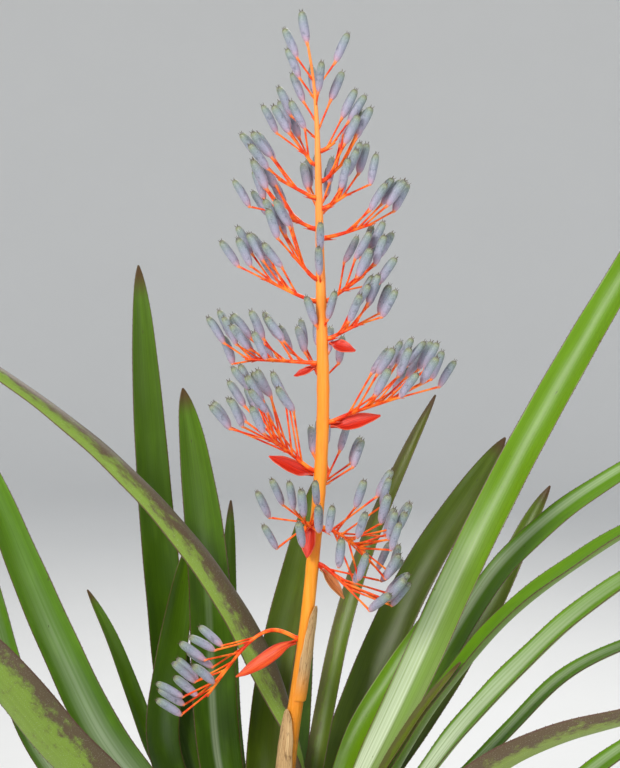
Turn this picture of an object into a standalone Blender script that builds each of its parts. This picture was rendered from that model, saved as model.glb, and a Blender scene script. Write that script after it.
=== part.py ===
"""A potted bromeliad with a branched flower stalk, in metres, +Z up.

The origin is the centre of the pot's flat base. Every height of the plant is
counted from the top of the potting mix, so a taller pot carries the whole plant up.
"""
import math

import bmesh
import bpy
from mathutils import Vector

# Pot and potting mix
POT_HEIGHT = 0.205
POT_TOP_RADIUS = 0.120
POT_BASE_RADIUS = 0.082
POT_WALL = 0.007
RIM_HEIGHT = 0.032
RIM_STEP = 0.004
RIM_ROUNDING = 0.0015
DRAIN_RADIUS = 0.006
DRAIN_RING = 0.045
DRAIN_COUNT = 3
WATERING_SPACE = 0.020
POT_SIDES = 36

# Crown, the short stem that the leaf bases wrap
CROWN_TOP_RADIUS = 0.0125
CROWN_RISE = 0.022
CROWN_FOOT_RISE = 0.0015
CROWN_DEPTH = 0.025
CROWN_SIDES = 32

# Leaves
LEAF_THICKNESS = 0.0012
SHEATH_CLEARANCE = 0.0009
CROWN_SHOULDER = 0.0020
SHEATH_HEIGHT = 0.036
SHEATH_HALF_ANGLE = math.radians(48)
THROAT_HEIGHT = 0.080
THROAT_FLARE = 1.9
TURN_START = 0.080
TURN_LENGTH = 0.200
LEAF_CELLS_ACROSS = 4
BASE_CELLS = 4
BASE_CELL_LENGTH = 0.020
BLADE_CELLS = 7
LEAF_TIP_WIDTH = 0.0016

# Flower stalk
STALK_RADIUS = 0.0076
STALK_SIDES = 8
STALK_BANDS = 26

# Buds, pedicels and branches
BUD_LENGTH = 0.026
BUD_RADIUS = 0.0038
BUD_TIP_RADIUS = 0.0012
BUD_SHOULDER = 0.22
BUD_TOP = 0.80
PEDICEL_RADIUS = 0.0009
FLOWER_SIDES = 4
BRANCH_RADIUS = 0.0019
BRANCH_SIDES = 6
BRANCH_BANDS = 5
BRANCH_FINE_BANDS = 40
PEDICEL_LIFT = 0.22
PEDICEL_LOWEST = -0.45
LONE_BUD_LEAN = math.radians(24)
BUD_LEAN_SWING = math.radians(8)
GOLDEN_ANGLE = math.radians(137.5)
ELBOW_ROOM = 0.0006

# Bracts
BRACT_THICKNESS = 0.0008
BRACT_DROP = 0.0034
BRACT_ROOM_SHARE = 0.42
BRACT_HALF_ANGLE = math.radians(58)
BRACT_OPENING = math.radians(24)
BRACT_BANDS = 5

# Clearance between pieces that touch
GAP = 0.0003

MILLIMETRE = 0.001

# Each leaf: name, ring on the crown, bearing of its base in degrees (0 is +X, 90 is
# +Y), width, half-angle of its gutter, turn of the blade in its lower part and at its
# end in degrees, and the points its middle is drawn towards, as millimetres to the
# right, to the back and above the potting mix.
LEAVES = [
    ("leaf_arching", 0, 75, 38, 48, 140, 92, [
        (34, 40, 187), (2, 47, 255), (-33, 52, 328), (-74, 52, 389), (-138, 52, 461),
        (-190, 50, 503), (-242, 46, 543), (-320, 40, 590),
    ]),
    ("leaf_behind_stalk", 1, 112, 42, 30, 0, 0, [
        (-14, 64, 168), (-8, 80, 246), (7, 100, 315), (23, 112, 378), (38, 122, 438),
    ]),
    ("leaf_slender_right", 2, 62, 22, 34, -15, -15, [
        (35, 68, 178), (53, 90, 280), (71, 110, 341), (94, 122, 401), (126, 132, 469),
        (147, 140, 510),
    ]),
    ("leaf_bright_right", 1, 5, 40, 34, -58, -58, [
        (85, 4, 198), (125, 12, 282), (165, 24, 371), (223, 40, 484), (301, 54, 617),
        (386, 64, 762),
    ]),
    ("leaf_pale_left", 2, 188, 48, 36, 58, 58, [
        (-139, -10, 202), (-167, -22, 268), (-205, -38, 363), (-250, -58, 502),
    ]),
    ("leaf_striped_back", 3, 133, 52, 26, 15, 15, [
        (-56, 72, 176), (-60, 88, 254), (-63, 102, 339), (-73, 113, 428), (-87, 122, 518),
    ]),
    ("leaf_small_right", 3, -20, 20, 40, -45, -45, [
        (102, -28, 221), (127, -32, 262), (157, -37, 301),
    ]),
    ("leaf_low_right", 4, 38, 28, 36, -30, -30, [
        (66, 58, 201), (89, 70, 239), (112, 80, 273), (141, 92, 319),
    ]),
    ("leaf_leaning_left", 4, 152, 42, 30, 25, 25, [
        (-114, 78, 175), (-104, 100, 240), (-92, 118, 320), (-82, 128, 374),
    ]),
    ("leaf_two_tone_right", 5, -18, 54, 46, -14, -14, [
        (106, -32, 207), (131, -36, 256), (176, -46, 318), (211, -51, 357),
        (285, -60, 411), (352, -62, 450),
    ]),
    ("leaf_short_back", 8, 112, 24, 30, 0, 0, [
        (-47, 150, 164), (-50, 172, 315), (-46, 186, 404),
    ]),
    ("leaf_broad_behind", 6, 64, 46, 28, -15, -15, [
        (58, 104, 167), (72, 122, 207), (101, 142, 278), (139, 162, 350), (178, 180, 405),
        (219, 200, 463),
    ]),
    ("leaf_purple_edge_left", 6, 214, 50, 34, -58, -58, [
        (-155, -110, 232), (-182, -138, 278), (-207, -168, 328), (-286, -220, 424),
    ]),
    ("leaf_tall_back", 7, 128, 42, 26, 20, 20, [
        (-92, 118, 172), (-106, 136, 307), (-119, 150, 431), (-131, 164, 630),
    ]),
    ("leaf_upper_right", 7, 24, 34, 32, -20, -20, [
        (110, 62, 208), (183, 74, 331), (206, 78, 362), (251, 84, 404), (311, 92, 444),
        (404, 102, 492),
    ]),
    ("leaf_front_short", 7, 266, 38, 34, 0, 0, [
        (-12, -90, 100), (-18, -165, 150), (-24, -250, 150), (-30, -330, 92),
    ]),
    ("leaf_white_right", 8, -33, 50, 34, -34, -34, [
        (133, -72, 220), (160, -86, 263), (198, -98, 306), (252, -110, 368),
        (339, -122, 421),
    ]),
    ("leaf_edge_left", 8, 180, 36, 34, 38, 38, [
        (-206, 26, 172), (-242, 34, 289), (-262, 42, 373), (-297, 50, 498),
    ]),
    ("leaf_dark_right", 8, 52, 34, 30, -20, -20, [
        (142, 120, 216), (176, 140, 268), (210, 152, 323), (234, 162, 379),
        (259, 172, 420),
    ]),
    ("leaf_dark_left", 9, 128, 22, 32, 15, 15, [
        (-112, 124, 161), (-124, 134, 190), (-155, 150, 275), (-182, 160, 322),
    ]),
    ("leaf_under_right", 9, -6, 30, 38, -18, -18, [
        (174, -28, 207), (216, -30, 258), (253, -31, 294), (292, -32, 311),
        (361, -32, 340),
    ]),
    ("leaf_front_left", 9, 238, 44, 34, 0, 0, [
        (-80, -110, 110), (-130, -190, 170), (-180, -262, 180), (-225, -330, 135),
    ]),
    ("leaf_foreground", 10, -50, 44, 40, 22, 22, [
        (146, -160, 232), (203, -204, 281), (259, -224, 302), (336, -246, 330),
    ]),
    ("leaf_front_right", 12, 285, 42, 34, 0, 0, [
        (42, -112, 100), (70, -190, 146), (100, -270, 150), (126, -345, 100),
    ]),
    ("leaf_corner_right", 11, -26, 38, 36, -30, -30, [
        (214, -116, 186), (252, -132, 234), (285, -142, 262), (337, -150, 300),
    ]),
    ("leaf_back", 11, 92, 42, 34, 0, 0, [
        (6, 120, 100), (14, 190, 190), (20, 262, 250), (26, 330, 262),
    ]),
]

# Middle of the flower stalk, in the same millimetres, and its thickness there as a
# share of its thickness at the foot.
STALK_LINE = [
    ((4, 0, 110), 1.0), ((9, 0, 206), 0.96), ((19, 0, 259), 0.84), ((26, 0, 315), 0.76),
    ((33, 0, 383), 0.72), ((40, 0, 461), 0.72), ((42, 0, 524), 0.70), ((40, 0, 576), 0.63),
    ((38, 0, 661), 0.44), ((37, 0, 713), 0.37), ((36, 0, 750), 0.27), ((35, 0, 772), 0.20),
    ((33, 0, 793), 0.16), ((30, 0, 808), 0.15), ((28, 0, 818), 0.14),
]

# Each branch: name, height on the stalk, bearing, rise in degrees, length, droop of its
# end in degrees, share of it that is bare in percent, number of flowers, pedicel length,
# how far the pedicels spread and how far the buds lean from upright.
BRANCHES = [
    ("branch_front", 410, 328, -10, 42, 16, 16, 18, 50, 60, 22),
    ("branch_front_left", 414, 240, -6, 12, 6, 30, 8, 36, 60, 26),
    ("branch_left_arched", 312, 186, 30, 106, 84, 34, 11, 36, 30, 52),
    ("branch_right_drooping", 378, -20, -30, 34, 12, 20, 7, 44, 26, 44),
    ("branch_left_great", 458, 184, 38, 44, 0, 20, 17, 56, 52, 32),
    ("branch_right_great", 500, -4, 26, 62, 8, 20, 15, 44, 44, 30),
    ("branch_left_level", 550, 172, 4, 60, 2, 12, 15, 28, 54, 30),
    ("branch_right_bracted", 571, -12, 26, 28, 0, 20, 8, 28, 50, 28),
    ("branch_right_wide", 603, 8, 34, 36, 0, 20, 9, 32, 52, 26),
    ("branch_left_wide", 603, 186, 18, 46, -8, 20, 8, 32, 42, 34),
    ("branch_left_inner", 622, 206, 44, 26, 0, 30, 5, 34, 30, 26),
    ("branch_right_slim", 656, 0, 12, 40, -6, 40, 5, 28, 34, 32),
    ("branch_left_upper", 664, 172, 24, 34, 0, 20, 8, 34, 44, 30),
    ("branch_right_middle", 681, -14, 30, 22, 0, 20, 6, 28, 52, 20),
    ("branch_left_high", 690, 198, 26, 34, 0, 40, 4, 28, 30, 34),
    ("branch_right_high", 704, 8, 42, 24, 0, 20, 5, 30, 40, 26),
    ("branch_left_top", 718, 176, 54, 14, 0, 20, 5, 30, 44, 24),
    ("branch_right_top", 729, -4, 34, 12, 0, 20, 2, 24, 26, 26),
    ("branch_back_high", 672, 88, 30, 22, 0, 20, 6, 28, 44, 26),
    ("branch_back_middle", 530, 98, 24, 34, 0, 20, 7, 30, 44, 28),
    ("branch_back_low", 440, 74, 26, 32, 0, 20, 7, 32, 50, 28),
]

# Each flower that stands alone on the top of the stalk: height, bearing, rise and
# pedicel length.
LONE_FLOWERS = [
    (574, 222, 50, 12), (577, 304, 50, 14), (616, 264, 40, 14), (636, 270, 40, 14),
    (738, 184, 42, 30), (744, 20, 66, 30), (752, 158, 56, 22), (758, 104, 70, 20),
    (766, 285, 56, 14), (771, 182, 54, 23), (778, 0, 55, 30), (786, 184, 54, 25),
]

# Each bract: name, the branch it stands under, length, width, how far it hangs below
# the branch and how far it is rolled to one side, in degrees.
BRACTS = [
    ("bract_front", "branch_front_left", 28, 16, 74, 0),
    ("bract_left_folded", "branch_left_arched", 56, 16, 38, 46),
    ("bract_withered", "branch_right_drooping", 30, 11, 20, -40),
    ("bract_left_great", "branch_left_great", 38, 17, 12, 46),
    ("bract_right_great", "branch_right_great", 40, 17, 8, -52),
    ("bract_right_middle", "branch_right_bracted", 22, 15, 46, -42),
    ("bract_left_middle", "branch_left_level", 18, 10, 26, 40),
]

# Each dry sheath bract on the stalk: name, height of its foot, length, bearing and how
# far it wraps round, in degrees to each side.
SHEATHS = [
    ("sheath_lower", 168, 84, 226, 78),
    ("sheath_upper", 258, 84, -42, 66),
]

COLOURS = {
    "terracotta": ((0.50, 0.21, 0.11), 0.85),
    "potting_mix": ((0.06, 0.04, 0.025), 0.95),
    "leaf": ((0.12, 0.32, 0.04), 0.42),
    "stalk": ((0.93, 0.36, 0.06), 0.45),
    "branch": ((0.90, 0.12, 0.03), 0.45),
    "bract": ((0.66, 0.04, 0.02), 0.5),
    "dry_sheath": ((0.62, 0.40, 0.20), 0.7),
    "crown": ((0.30, 0.30, 0.12), 0.7),
}


def clear_scene():
    for thing in list(bpy.data.objects):
        bpy.data.objects.remove(thing, do_unlink=True)


def material(piece_name, colour_name):
    colour, roughness = COLOURS[colour_name]
    finish = bpy.data.materials.new(piece_name)
    finish.use_nodes = True
    shader = finish.node_tree.nodes["Principled BSDF"]
    shader.inputs["Base Color"].default_value = (*colour, 1.0)
    shader.inputs["Roughness"].default_value = roughness
    shader.inputs["Metallic"].default_value = 0.0
    return finish


def add_piece(name, mesh_editor, colour_name):
    """Turn the edited mesh into a named, smooth-shaded object of the given colour."""
    mesh = bpy.data.meshes.new(name)
    mesh_editor.to_mesh(mesh)
    mesh_editor.free()
    mesh.shade_smooth()
    mesh.set_sharp_from_angle(angle=math.radians(40))
    mesh.materials.append(material(name, colour_name))
    piece = bpy.data.objects.new(name, mesh)
    bpy.context.collection.objects.link(piece)
    return piece


def hide_helper(helper):
    helper.hide_render = True
    helper.display_type = "WIRE"


def bearing_vector(bearing, rise=0.0):
    level = math.cos(rise)
    return Vector((level * math.cos(bearing), level * math.sin(bearing), math.sin(rise)))


def smooth_share(value):
    value = min(max(value, 0.0), 1.0)
    return value * value * (3.0 - 2.0 * value)


def millimetres(point, soil_top):
    """A plant point, given in millimetres above the potting mix, in metres."""
    return Vector((point[0], point[1], point[2])) * MILLIMETRE + Vector((0.0, 0.0, soil_top))


def curve_point(points, share):
    """A point of the clamped cubic B-spline that the given points pull on."""
    ends = [points[0]] * 2 + list(points) + [points[-1]] * 2
    spans = len(ends) - 3
    place = min(share * spans, spans - 1e-9)
    start = int(place)
    t = place - start
    weights = (
        (1 - t) ** 3 / 6,
        (3 * t ** 3 - 6 * t ** 2 + 4) / 6,
        (-3 * t ** 3 + 3 * t ** 2 + 3 * t + 1) / 6,
        t ** 3 / 6,
    )
    return sum((ends[start + k] * w for k, w in enumerate(weights)), points[0] * 0.0)


def measured_curve(points):
    """The curve that the given points pull on, finely, and its length up to each point."""
    fine = [curve_point(points, k / 200) for k in range(201)]
    lengths = [0.0]
    for a, b in zip(fine, fine[1:]):
        lengths.append(lengths[-1] + (b - a).length)
    return fine, lengths


def points_along(fine, lengths, stations):
    """Points of a measured curve at the given lengths from its start."""
    line = []
    step = 0
    for want in stations:
        while step < len(fine) - 2 and lengths[step + 1] < want:
            step += 1
        span = lengths[step + 1] - lengths[step]
        mix = (want - lengths[step]) / span if span > 0 else 0.0
        line.append(fine[step].lerp(fine[step + 1], min(mix, 1.0)))
    return line


def even_line(points, bands):
    fine, lengths = measured_curve(points)
    return points_along(fine, lengths, [lengths[-1] * k / bands for k in range(bands + 1)])


def tangents(line):
    """Direction at each point of a line: half way between the steps before and after."""
    steps = [(after - before).normalized() for before, after in zip(line, line[1:])]
    turns = [(before + after).normalized() for before, after in zip(steps, steps[1:])]
    return [steps[0], *turns, steps[-1]]


def carried_sides(directions, first_side):
    """The side direction carried along a line without turning about it."""
    sides = [(first_side - directions[0] * first_side.dot(directions[0])).normalized()]
    for direction in directions[1:]:
        side = sides[-1] - direction * sides[-1].dot(direction)
        sides.append(side.normalized())
    return sides


def sweep(editor, line, radii, corners):
    """A closed tube round a line, with its own radius at each point and flat ends."""
    directions = tangents(line)
    start = Vector((0.0, 0.0, 1.0)) if abs(directions[0].z) < 0.9 else Vector((1.0, 0.0, 0.0))
    sides = carried_sides(directions, start.cross(directions[0]))
    rings = []
    for centre, direction, side, radius in zip(line, directions, sides, radii):
        other = direction.cross(side)
        ring = []
        for k in range(corners):
            turn = math.tau * k / corners
            offset = side * math.cos(turn) + other * math.sin(turn)
            ring.append(editor.verts.new(centre + offset * radius))
        rings.append(ring)
    for low, high in zip(rings, rings[1:]):
        for k in range(corners):
            after = (k + 1) % corners
            editor.faces.new((low[k], low[after], high[after], high[k]))
    editor.faces.new(list(reversed(rings[0])))
    editor.faces.new(rings[-1])


def turned(name, profile, sides, colour_name):
    """A closed body turned about +Z from a profile that starts and ends on the axis."""
    editor = bmesh.new()
    points = [editor.verts.new((radius, 0.0, height)) for radius, height in profile]
    edges = [editor.edges.new(pair) for pair in zip(points, points[1:])]
    bmesh.ops.spin(
        editor,
        geom=points + edges,
        cent=(0, 0, 0),
        axis=(0, 0, 1),
        dvec=(0, 0, 0),
        angle=math.tau,
        steps=sides,
        use_merge=True,
        use_duplicate=False,
    )
    bmesh.ops.remove_doubles(editor, verts=editor.verts, dist=1e-6)
    bmesh.ops.recalc_face_normals(editor, faces=editor.faces)
    return add_piece(name, editor, colour_name)


def pot_wall_radius(height):
    """Outer radius of the pot's tapered wall at a height, without the rim band."""
    taper = POT_TOP_RADIUS - RIM_STEP - POT_BASE_RADIUS
    return POT_BASE_RADIUS + taper * height / POT_HEIGHT


def make_pot():
    rim_low = POT_HEIGHT - RIM_HEIGHT
    profile = [
        (0.0, 0.0),
        (POT_BASE_RADIUS - RIM_ROUNDING, 0.0),
        (POT_BASE_RADIUS, RIM_ROUNDING),
        (pot_wall_radius(rim_low), rim_low),
        (pot_wall_radius(rim_low) + RIM_STEP, rim_low + RIM_ROUNDING),
        (POT_TOP_RADIUS, POT_HEIGHT - RIM_ROUNDING),
        (POT_TOP_RADIUS - RIM_ROUNDING, POT_HEIGHT),
        (POT_TOP_RADIUS - RIM_STEP - POT_WALL + RIM_ROUNDING, POT_HEIGHT),
        (POT_TOP_RADIUS - RIM_STEP - POT_WALL, POT_HEIGHT - RIM_ROUNDING),
        (pot_wall_radius(POT_WALL) - POT_WALL, POT_WALL),
        (0.0, POT_WALL),
    ]
    pot = turned("pot", profile, POT_SIDES, "terracotta")
    for k in range(DRAIN_COUNT):
        bearing = math.tau * k / DRAIN_COUNT
        bpy.ops.mesh.primitive_cylinder_add(
            vertices=16,
            radius=DRAIN_RADIUS,
            depth=POT_WALL * 3,
            location=bearing_vector(bearing) * DRAIN_RING + Vector((0, 0, POT_WALL / 2)),
        )
        cutter = bpy.context.object
        cutter.name = f"cutter_drain_{k + 1}"
        hide_helper(cutter)
        cut = pot.modifiers.new(cutter.name, "BOOLEAN")
        cut.operation = "DIFFERENCE"
        cut.object = cutter


def ring_radius(ring):
    """Radius at which the leaf bases of a ring stand round the crown."""
    pitch = LEAF_THICKNESS + SHEATH_CLEARANCE
    return CROWN_TOP_RADIUS + CROWN_SHOULDER + ring * pitch


def crown_foot_radius():
    last_ring = max(leaf[1] for leaf in LEAVES)
    return ring_radius(last_ring + 1)


def crown_surface(radius, soil_top):
    """Height of the crown's sloping side at a radius."""
    slope = (CROWN_RISE - CROWN_FOOT_RISE) / (crown_foot_radius() - CROWN_TOP_RADIUS)
    return soil_top + CROWN_RISE - slope * max(radius - CROWN_TOP_RADIUS, 0.0)


def make_soil_and_crown(soil_top):
    foot = crown_foot_radius()
    inner_top = POT_TOP_RADIUS - RIM_STEP - POT_WALL
    inner_base = pot_wall_radius(POT_WALL) - POT_WALL
    slope = (inner_top - inner_base) / (POT_HEIGHT - POT_WALL)
    clearance = GAP * 2
    low = POT_WALL + GAP
    profile = [
        (0.0, low),
        (inner_base + slope * GAP - clearance, low),
        (inner_base + slope * (soil_top - POT_WALL) - clearance, soil_top),
        (foot + clearance, soil_top),
        (foot + clearance, soil_top - CROWN_DEPTH - GAP),
        (0.0, soil_top - CROWN_DEPTH - GAP),
    ]
    turned("potting_mix", profile, POT_SIDES, "potting_mix")
    profile = [
        (0.0, soil_top - CROWN_DEPTH),
        (foot, soil_top - CROWN_DEPTH),
        (foot, soil_top + CROWN_FOOT_RISE),
        (CROWN_TOP_RADIUS, soil_top + CROWN_RISE),
        (0.0, soil_top + CROWN_RISE),
    ]
    turned("crown", profile, CROWN_SIDES, "crown")


def blade_width(width, share):
    """Width along a strap leaf: a broad sheath, a waist, then a long taper to a point."""
    waist = 1.0 - 0.16 * smooth_share(share / 0.10) + 0.16 * smooth_share((share - 0.1) / 0.3)
    taper = 1.0 - 0.22 * share
    tip = math.sqrt(max(1.0 - share ** 7, 0.0))
    return max(width * waist * taper * tip, LEAF_TIP_WIDTH)


def bend_sheet(name, line, side, widths, half_angles, turns, thickness, colour_name):
    """A thin sheet whose cross-section is an arc, carried along a line and thickened."""
    directions = tangents(line)
    sides = carried_sides(directions, side)
    bands = len(line) - 1
    editor = bmesh.new()
    bmesh.ops.create_grid(
        editor, x_segments=LEAF_CELLS_ACROSS, y_segments=bands, size=0.5
    )
    for vert in editor.verts:
        across = vert.co.x * 2.0
        k = round((vert.co.y + 0.5) * bands)
        normal = sides[k].cross(directions[k])
        flat = sides[k] * math.cos(turns[k]) + normal * math.sin(turns[k])
        inward = normal * math.cos(turns[k]) - sides[k] * math.sin(turns[k])
        radius = widths[k] / 2 / half_angles[k]
        angle = across * half_angles[k]
        vert.co = line[k] + flat * (radius * math.sin(angle))
        vert.co += inward * (radius * (1.0 - math.cos(angle)))
    bmesh.ops.recalc_face_normals(editor, faces=editor.faces)
    sheet = add_piece(name, editor, colour_name)
    solid = sheet.modifiers.new("thickness", "SOLIDIFY")
    solid.thickness = thickness
    solid.offset = 0.0
    return sheet


def leaf_line(ring, bearing, points, soil_top):
    radius = ring_radius(ring)
    inner = radius * math.cos(SHEATH_HALF_ANGLE / LEAF_CELLS_ACROSS) - LEAF_THICKNESS
    foot = bearing_vector(bearing) * radius
    foot.z = crown_surface(inner, soil_top) + GAP
    collar = foot + Vector((0.0, 0.0, SHEATH_HEIGHT))
    middle = (foot + collar) / 2
    throat = bearing_vector(bearing) * (radius * THROAT_FLARE)
    throat.z = foot.z + THROAT_HEIGHT
    blade = [millimetres(point, soil_top) for point in points]
    return [foot, middle, collar, throat] + blade


def leaf_stations(length):
    """Lengths from the foot at which the leaf is drawn: close in the sheath, then even."""
    base = BASE_CELLS * BASE_CELL_LENGTH
    stations = [k * BASE_CELL_LENGTH for k in range(BASE_CELLS)]
    return stations + [base + (length - base) * k / BLADE_CELLS for k in range(BLADE_CELLS + 1)]


def make_leaf(name, ring, bearing, width, gutter, turn, end_turn, points, soil_top):
    bearing = math.radians(bearing)
    gutter = math.radians(gutter)
    width = width * MILLIMETRE
    fine, lengths = measured_curve(leaf_line(ring, bearing, points, soil_top))
    length = lengths[-1]
    stations = leaf_stations(length)
    side = Vector((math.sin(bearing), -math.cos(bearing), 0.0))
    sheath_angle = min(width / 2 / ring_radius(ring), SHEATH_HALF_ANGLE)
    sheath_width = 2 * sheath_angle * ring_radius(ring)
    widths = []
    half_angles = []
    turns = []
    for station in stations:
        freed = smooth_share((station - SHEATH_HEIGHT) / (3 * SHEATH_HEIGHT))
        blade = blade_width(width, station / length)
        widths.append(sheath_width + (blade - sheath_width) * freed)
        half_angles.append(sheath_angle + (gutter - sheath_angle) * freed)
        turned_by = turn + (end_turn - turn) * smooth_share(station / length)
        begun = smooth_share((station - TURN_START) / TURN_LENGTH)
        turns.append(math.radians(turned_by) * begun)
    line = points_along(fine, lengths, stations)
    bend_sheet(name, line, side, widths, half_angles, turns, LEAF_THICKNESS, "leaf")


def stalk_rings(soil_top):
    """Middle point and radius of the stalk, ring by ring from its foot to its top."""
    foot = Vector((0.0, 0.0, soil_top + CROWN_RISE + GAP))
    points = [foot, foot + Vector((0.0, 0.0, STALK_RADIUS * 3))]
    points += [millimetres(point, soil_top) for point, _ in STALK_LINE]
    rings = []
    for point in even_line(points, STALK_BANDS):
        height = (point.z - soil_top) / MILLIMETRE
        share = STALK_LINE[0][1]
        for (low, low_share), (high, high_share) in zip(STALK_LINE, STALK_LINE[1:]):
            if low[2] < height:
                mix = min((height - low[2]) / (high[2] - low[2]), 1.0)
                share = low_share + (high_share - low_share) * mix
        rings.append((point, STALK_RADIUS * share))
    return rings


def stalk_at(rings, height):
    """Middle, direction and radius of the stalk at a height above the pot's base."""
    low, high = rings[0], rings[1]
    for low, high in zip(rings, rings[1:]):
        if height <= high[0].z:
            break
    mix = (height - low[0].z) / (high[0].z - low[0].z)
    point = low[0].lerp(high[0], mix)
    direction = (high[0] - low[0]).normalized()
    return point, direction, low[1] + (high[1] - low[1]) * mix


def flower_shape(start, leave, pedicel, bud_direction):
    """Middle line and radii of one pedicel with the bud at its end."""
    neck = start + leave * pedicel
    line = [
        start,
        neck,
        neck + bud_direction * (BUD_LENGTH * BUD_SHOULDER),
        neck + bud_direction * (BUD_LENGTH * BUD_TOP),
        neck + bud_direction * BUD_LENGTH,
    ]
    neck_radius = PEDICEL_RADIUS * 1.2
    radii = [PEDICEL_RADIUS, neck_radius, BUD_RADIUS, BUD_RADIUS * 0.94, BUD_TIP_RADIUS]
    return line, radii


def segment_distance(a, b, c, d):
    """Shortest distance between two straight segments, sampled and refined."""
    u = b - a
    v = d - c
    w = a - c
    uu = max(u.dot(u), 1e-12)
    vv = max(v.dot(v), 1e-12)
    uv = u.dot(v)
    best = 1.0
    for s in (0.0, 1.0):
        t = min(max(((a + u * s) - c).dot(v) / vv, 0.0), 1.0)
        best = min(best, (w + u * s - v * t).length)
    for t in (0.0, 1.0):
        s = min(max(((c + v * t) - a).dot(u) / uu, 0.0), 1.0)
        best = min(best, (w + u * s - v * t).length)
    spread = uu * vv - uv * uv
    if spread > 1e-14:
        s = (uv * w.dot(v) - vv * w.dot(u)) / spread
        t = (uu * w.dot(v) - uv * w.dot(u)) / spread
        if 0.0 < s < 1.0 and 0.0 < t < 1.0:
            best = min(best, (w + u * s - v * t).length)
    return best


def room_for(parts, taken):
    """Least clearance between a flower's parts and the pieces already in place."""
    least = 1.0
    for a, b, radius in parts:
        for c, d, other in taken:
            least = min(least, segment_distance(a, b, c, d) - radius - other)
    return least


def flower_parts(line):
    lift = (line[1] - line[0]) * 0.25
    return [
        (line[0] + lift, line[1], PEDICEL_RADIUS * 1.4),
        (line[1], line[4], BUD_RADIUS * 1.02),
    ]


def place_flower(start, axis, outward, share, turn, pedicel, spread, bud_lean, taken):
    """Choose the first way for a flower to leave its branch that has room."""
    side = axis.cross(Vector((0.0, 0.0, 1.0)))
    side = side.normalized() if side.length > 0.2 else Vector((1.0, 0.0, 0.0))
    other = side.cross(axis)
    best = None
    for attempt in range(24):
        phase = turn + attempt * math.radians(31)
        open_angle = spread * (1.0 - 0.4 * share) * (1.0 - 0.12 * (attempt % 3))
        radial = side * math.cos(phase) + other * math.sin(phase)
        leave = axis * math.cos(open_angle) + radial * math.sin(open_angle)
        leave.z = max(leave.z + PEDICEL_LIFT, PEDICEL_LOWEST)
        leave.normalize()
        reach = pedicel * (1.0 - 0.3 * share) * (1.0 + 0.09 * (attempt % 4))
        lean = Vector((leave.x, leave.y, 0.0)) * 0.6 + outward * 0.4
        lean = lean.normalized() if lean.length > 0.05 else outward
        tilt = bud_lean + BUD_LEAN_SWING * math.sin(turn * 3.0)
        bud_direction = lean * math.sin(tilt) + Vector((0.0, 0.0, math.cos(tilt)))
        line, radii = flower_shape(start, leave, reach, bud_direction)
        room = room_for(flower_parts(line), taken)
        if best is None or room > best[0]:
            best = (room, line, radii)
        if room > ELBOW_ROOM:
            break
    return best[1], best[2]


def branch_line(rings, height, bearing, rise, length, droop):
    """Middle line of a branch, from just clear of the stalk to its end."""
    point, direction, radius = stalk_at(rings, height)
    outward = bearing_vector(bearing)
    outward = (outward - direction * outward.dot(direction)).normalized()
    start = point + outward * (radius + GAP)
    line = [start, start + outward * BRANCH_RADIUS]
    for k in range(1, BRANCH_BANDS + 1):
        ahead = (BRANCH_BANDS - k) / (BRANCH_BANDS - 1)
        bend = rise - droop * (1.0 - ahead ** 4)
        line.append(line[-1] + bearing_vector(bearing, bend) * (length / BRANCH_BANDS))
    return line


def plan_branches(rings, soil_top):
    """Lines of every branch, and the space that branches and stalk already take."""
    lines = {}
    taken = []
    for name, height, bearing, rise, length, droop, *_ in BRANCHES:
        lines[name] = branch_line(
            rings,
            soil_top + height * MILLIMETRE,
            math.radians(bearing),
            math.radians(rise),
            length * MILLIMETRE,
            math.radians(droop),
        )
        for a, b in zip(lines[name], lines[name][1:]):
            taken.append((a, b, BRANCH_RADIUS))
    for (low, radius), (high, _) in zip(rings, rings[1:]):
        taken.append((low, high, radius))
    return lines, taken


def bract_line(line, length, hang):
    """Middle line of a bract that lies below the foot of a branch."""
    outward = line[1] - line[0]
    outward.normalize()
    heading = (line[3] - line[1]).normalized()
    side = outward.cross(Vector((0.0, 0.0, 1.0))).normalized()
    below = side.cross(heading).normalized()
    if below.z > 0:
        below = -below
    foot = line[0] - Vector((0.0, 0.0, BRANCH_RADIUS + BRACT_DROP)) + outward * BRACT_THICKNESS
    out = heading * math.cos(hang) + below * math.sin(hang)
    points = [foot, foot + outward * (length * 0.12) + out * (length * 0.1)]
    points.append(points[1] + out * (length * 0.45))
    points.append(points[2] + (out * 0.75 + heading * 0.35) * (length * 0.4))
    return points, side


def make_bract(name, points, side, width, roll):
    """A boat-shaped bract, rolled to one side as it leaves the stalk."""
    line = even_line(points, BRACT_BANDS)
    widths = []
    half_angles = []
    turns = []
    for k in range(BRACT_BANDS + 1):
        share = k / BRACT_BANDS
        widths.append(max(width * math.sin(math.pi * (0.12 + 0.88 * share)) ** 0.8, 0.0016))
        half_angles.append(BRACT_HALF_ANGLE - BRACT_OPENING * share)
        turns.append(roll * smooth_share(share * 3.0))
    bend_sheet(name, line, side, widths, half_angles, turns, BRACT_THICKNESS, "bract")


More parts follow.
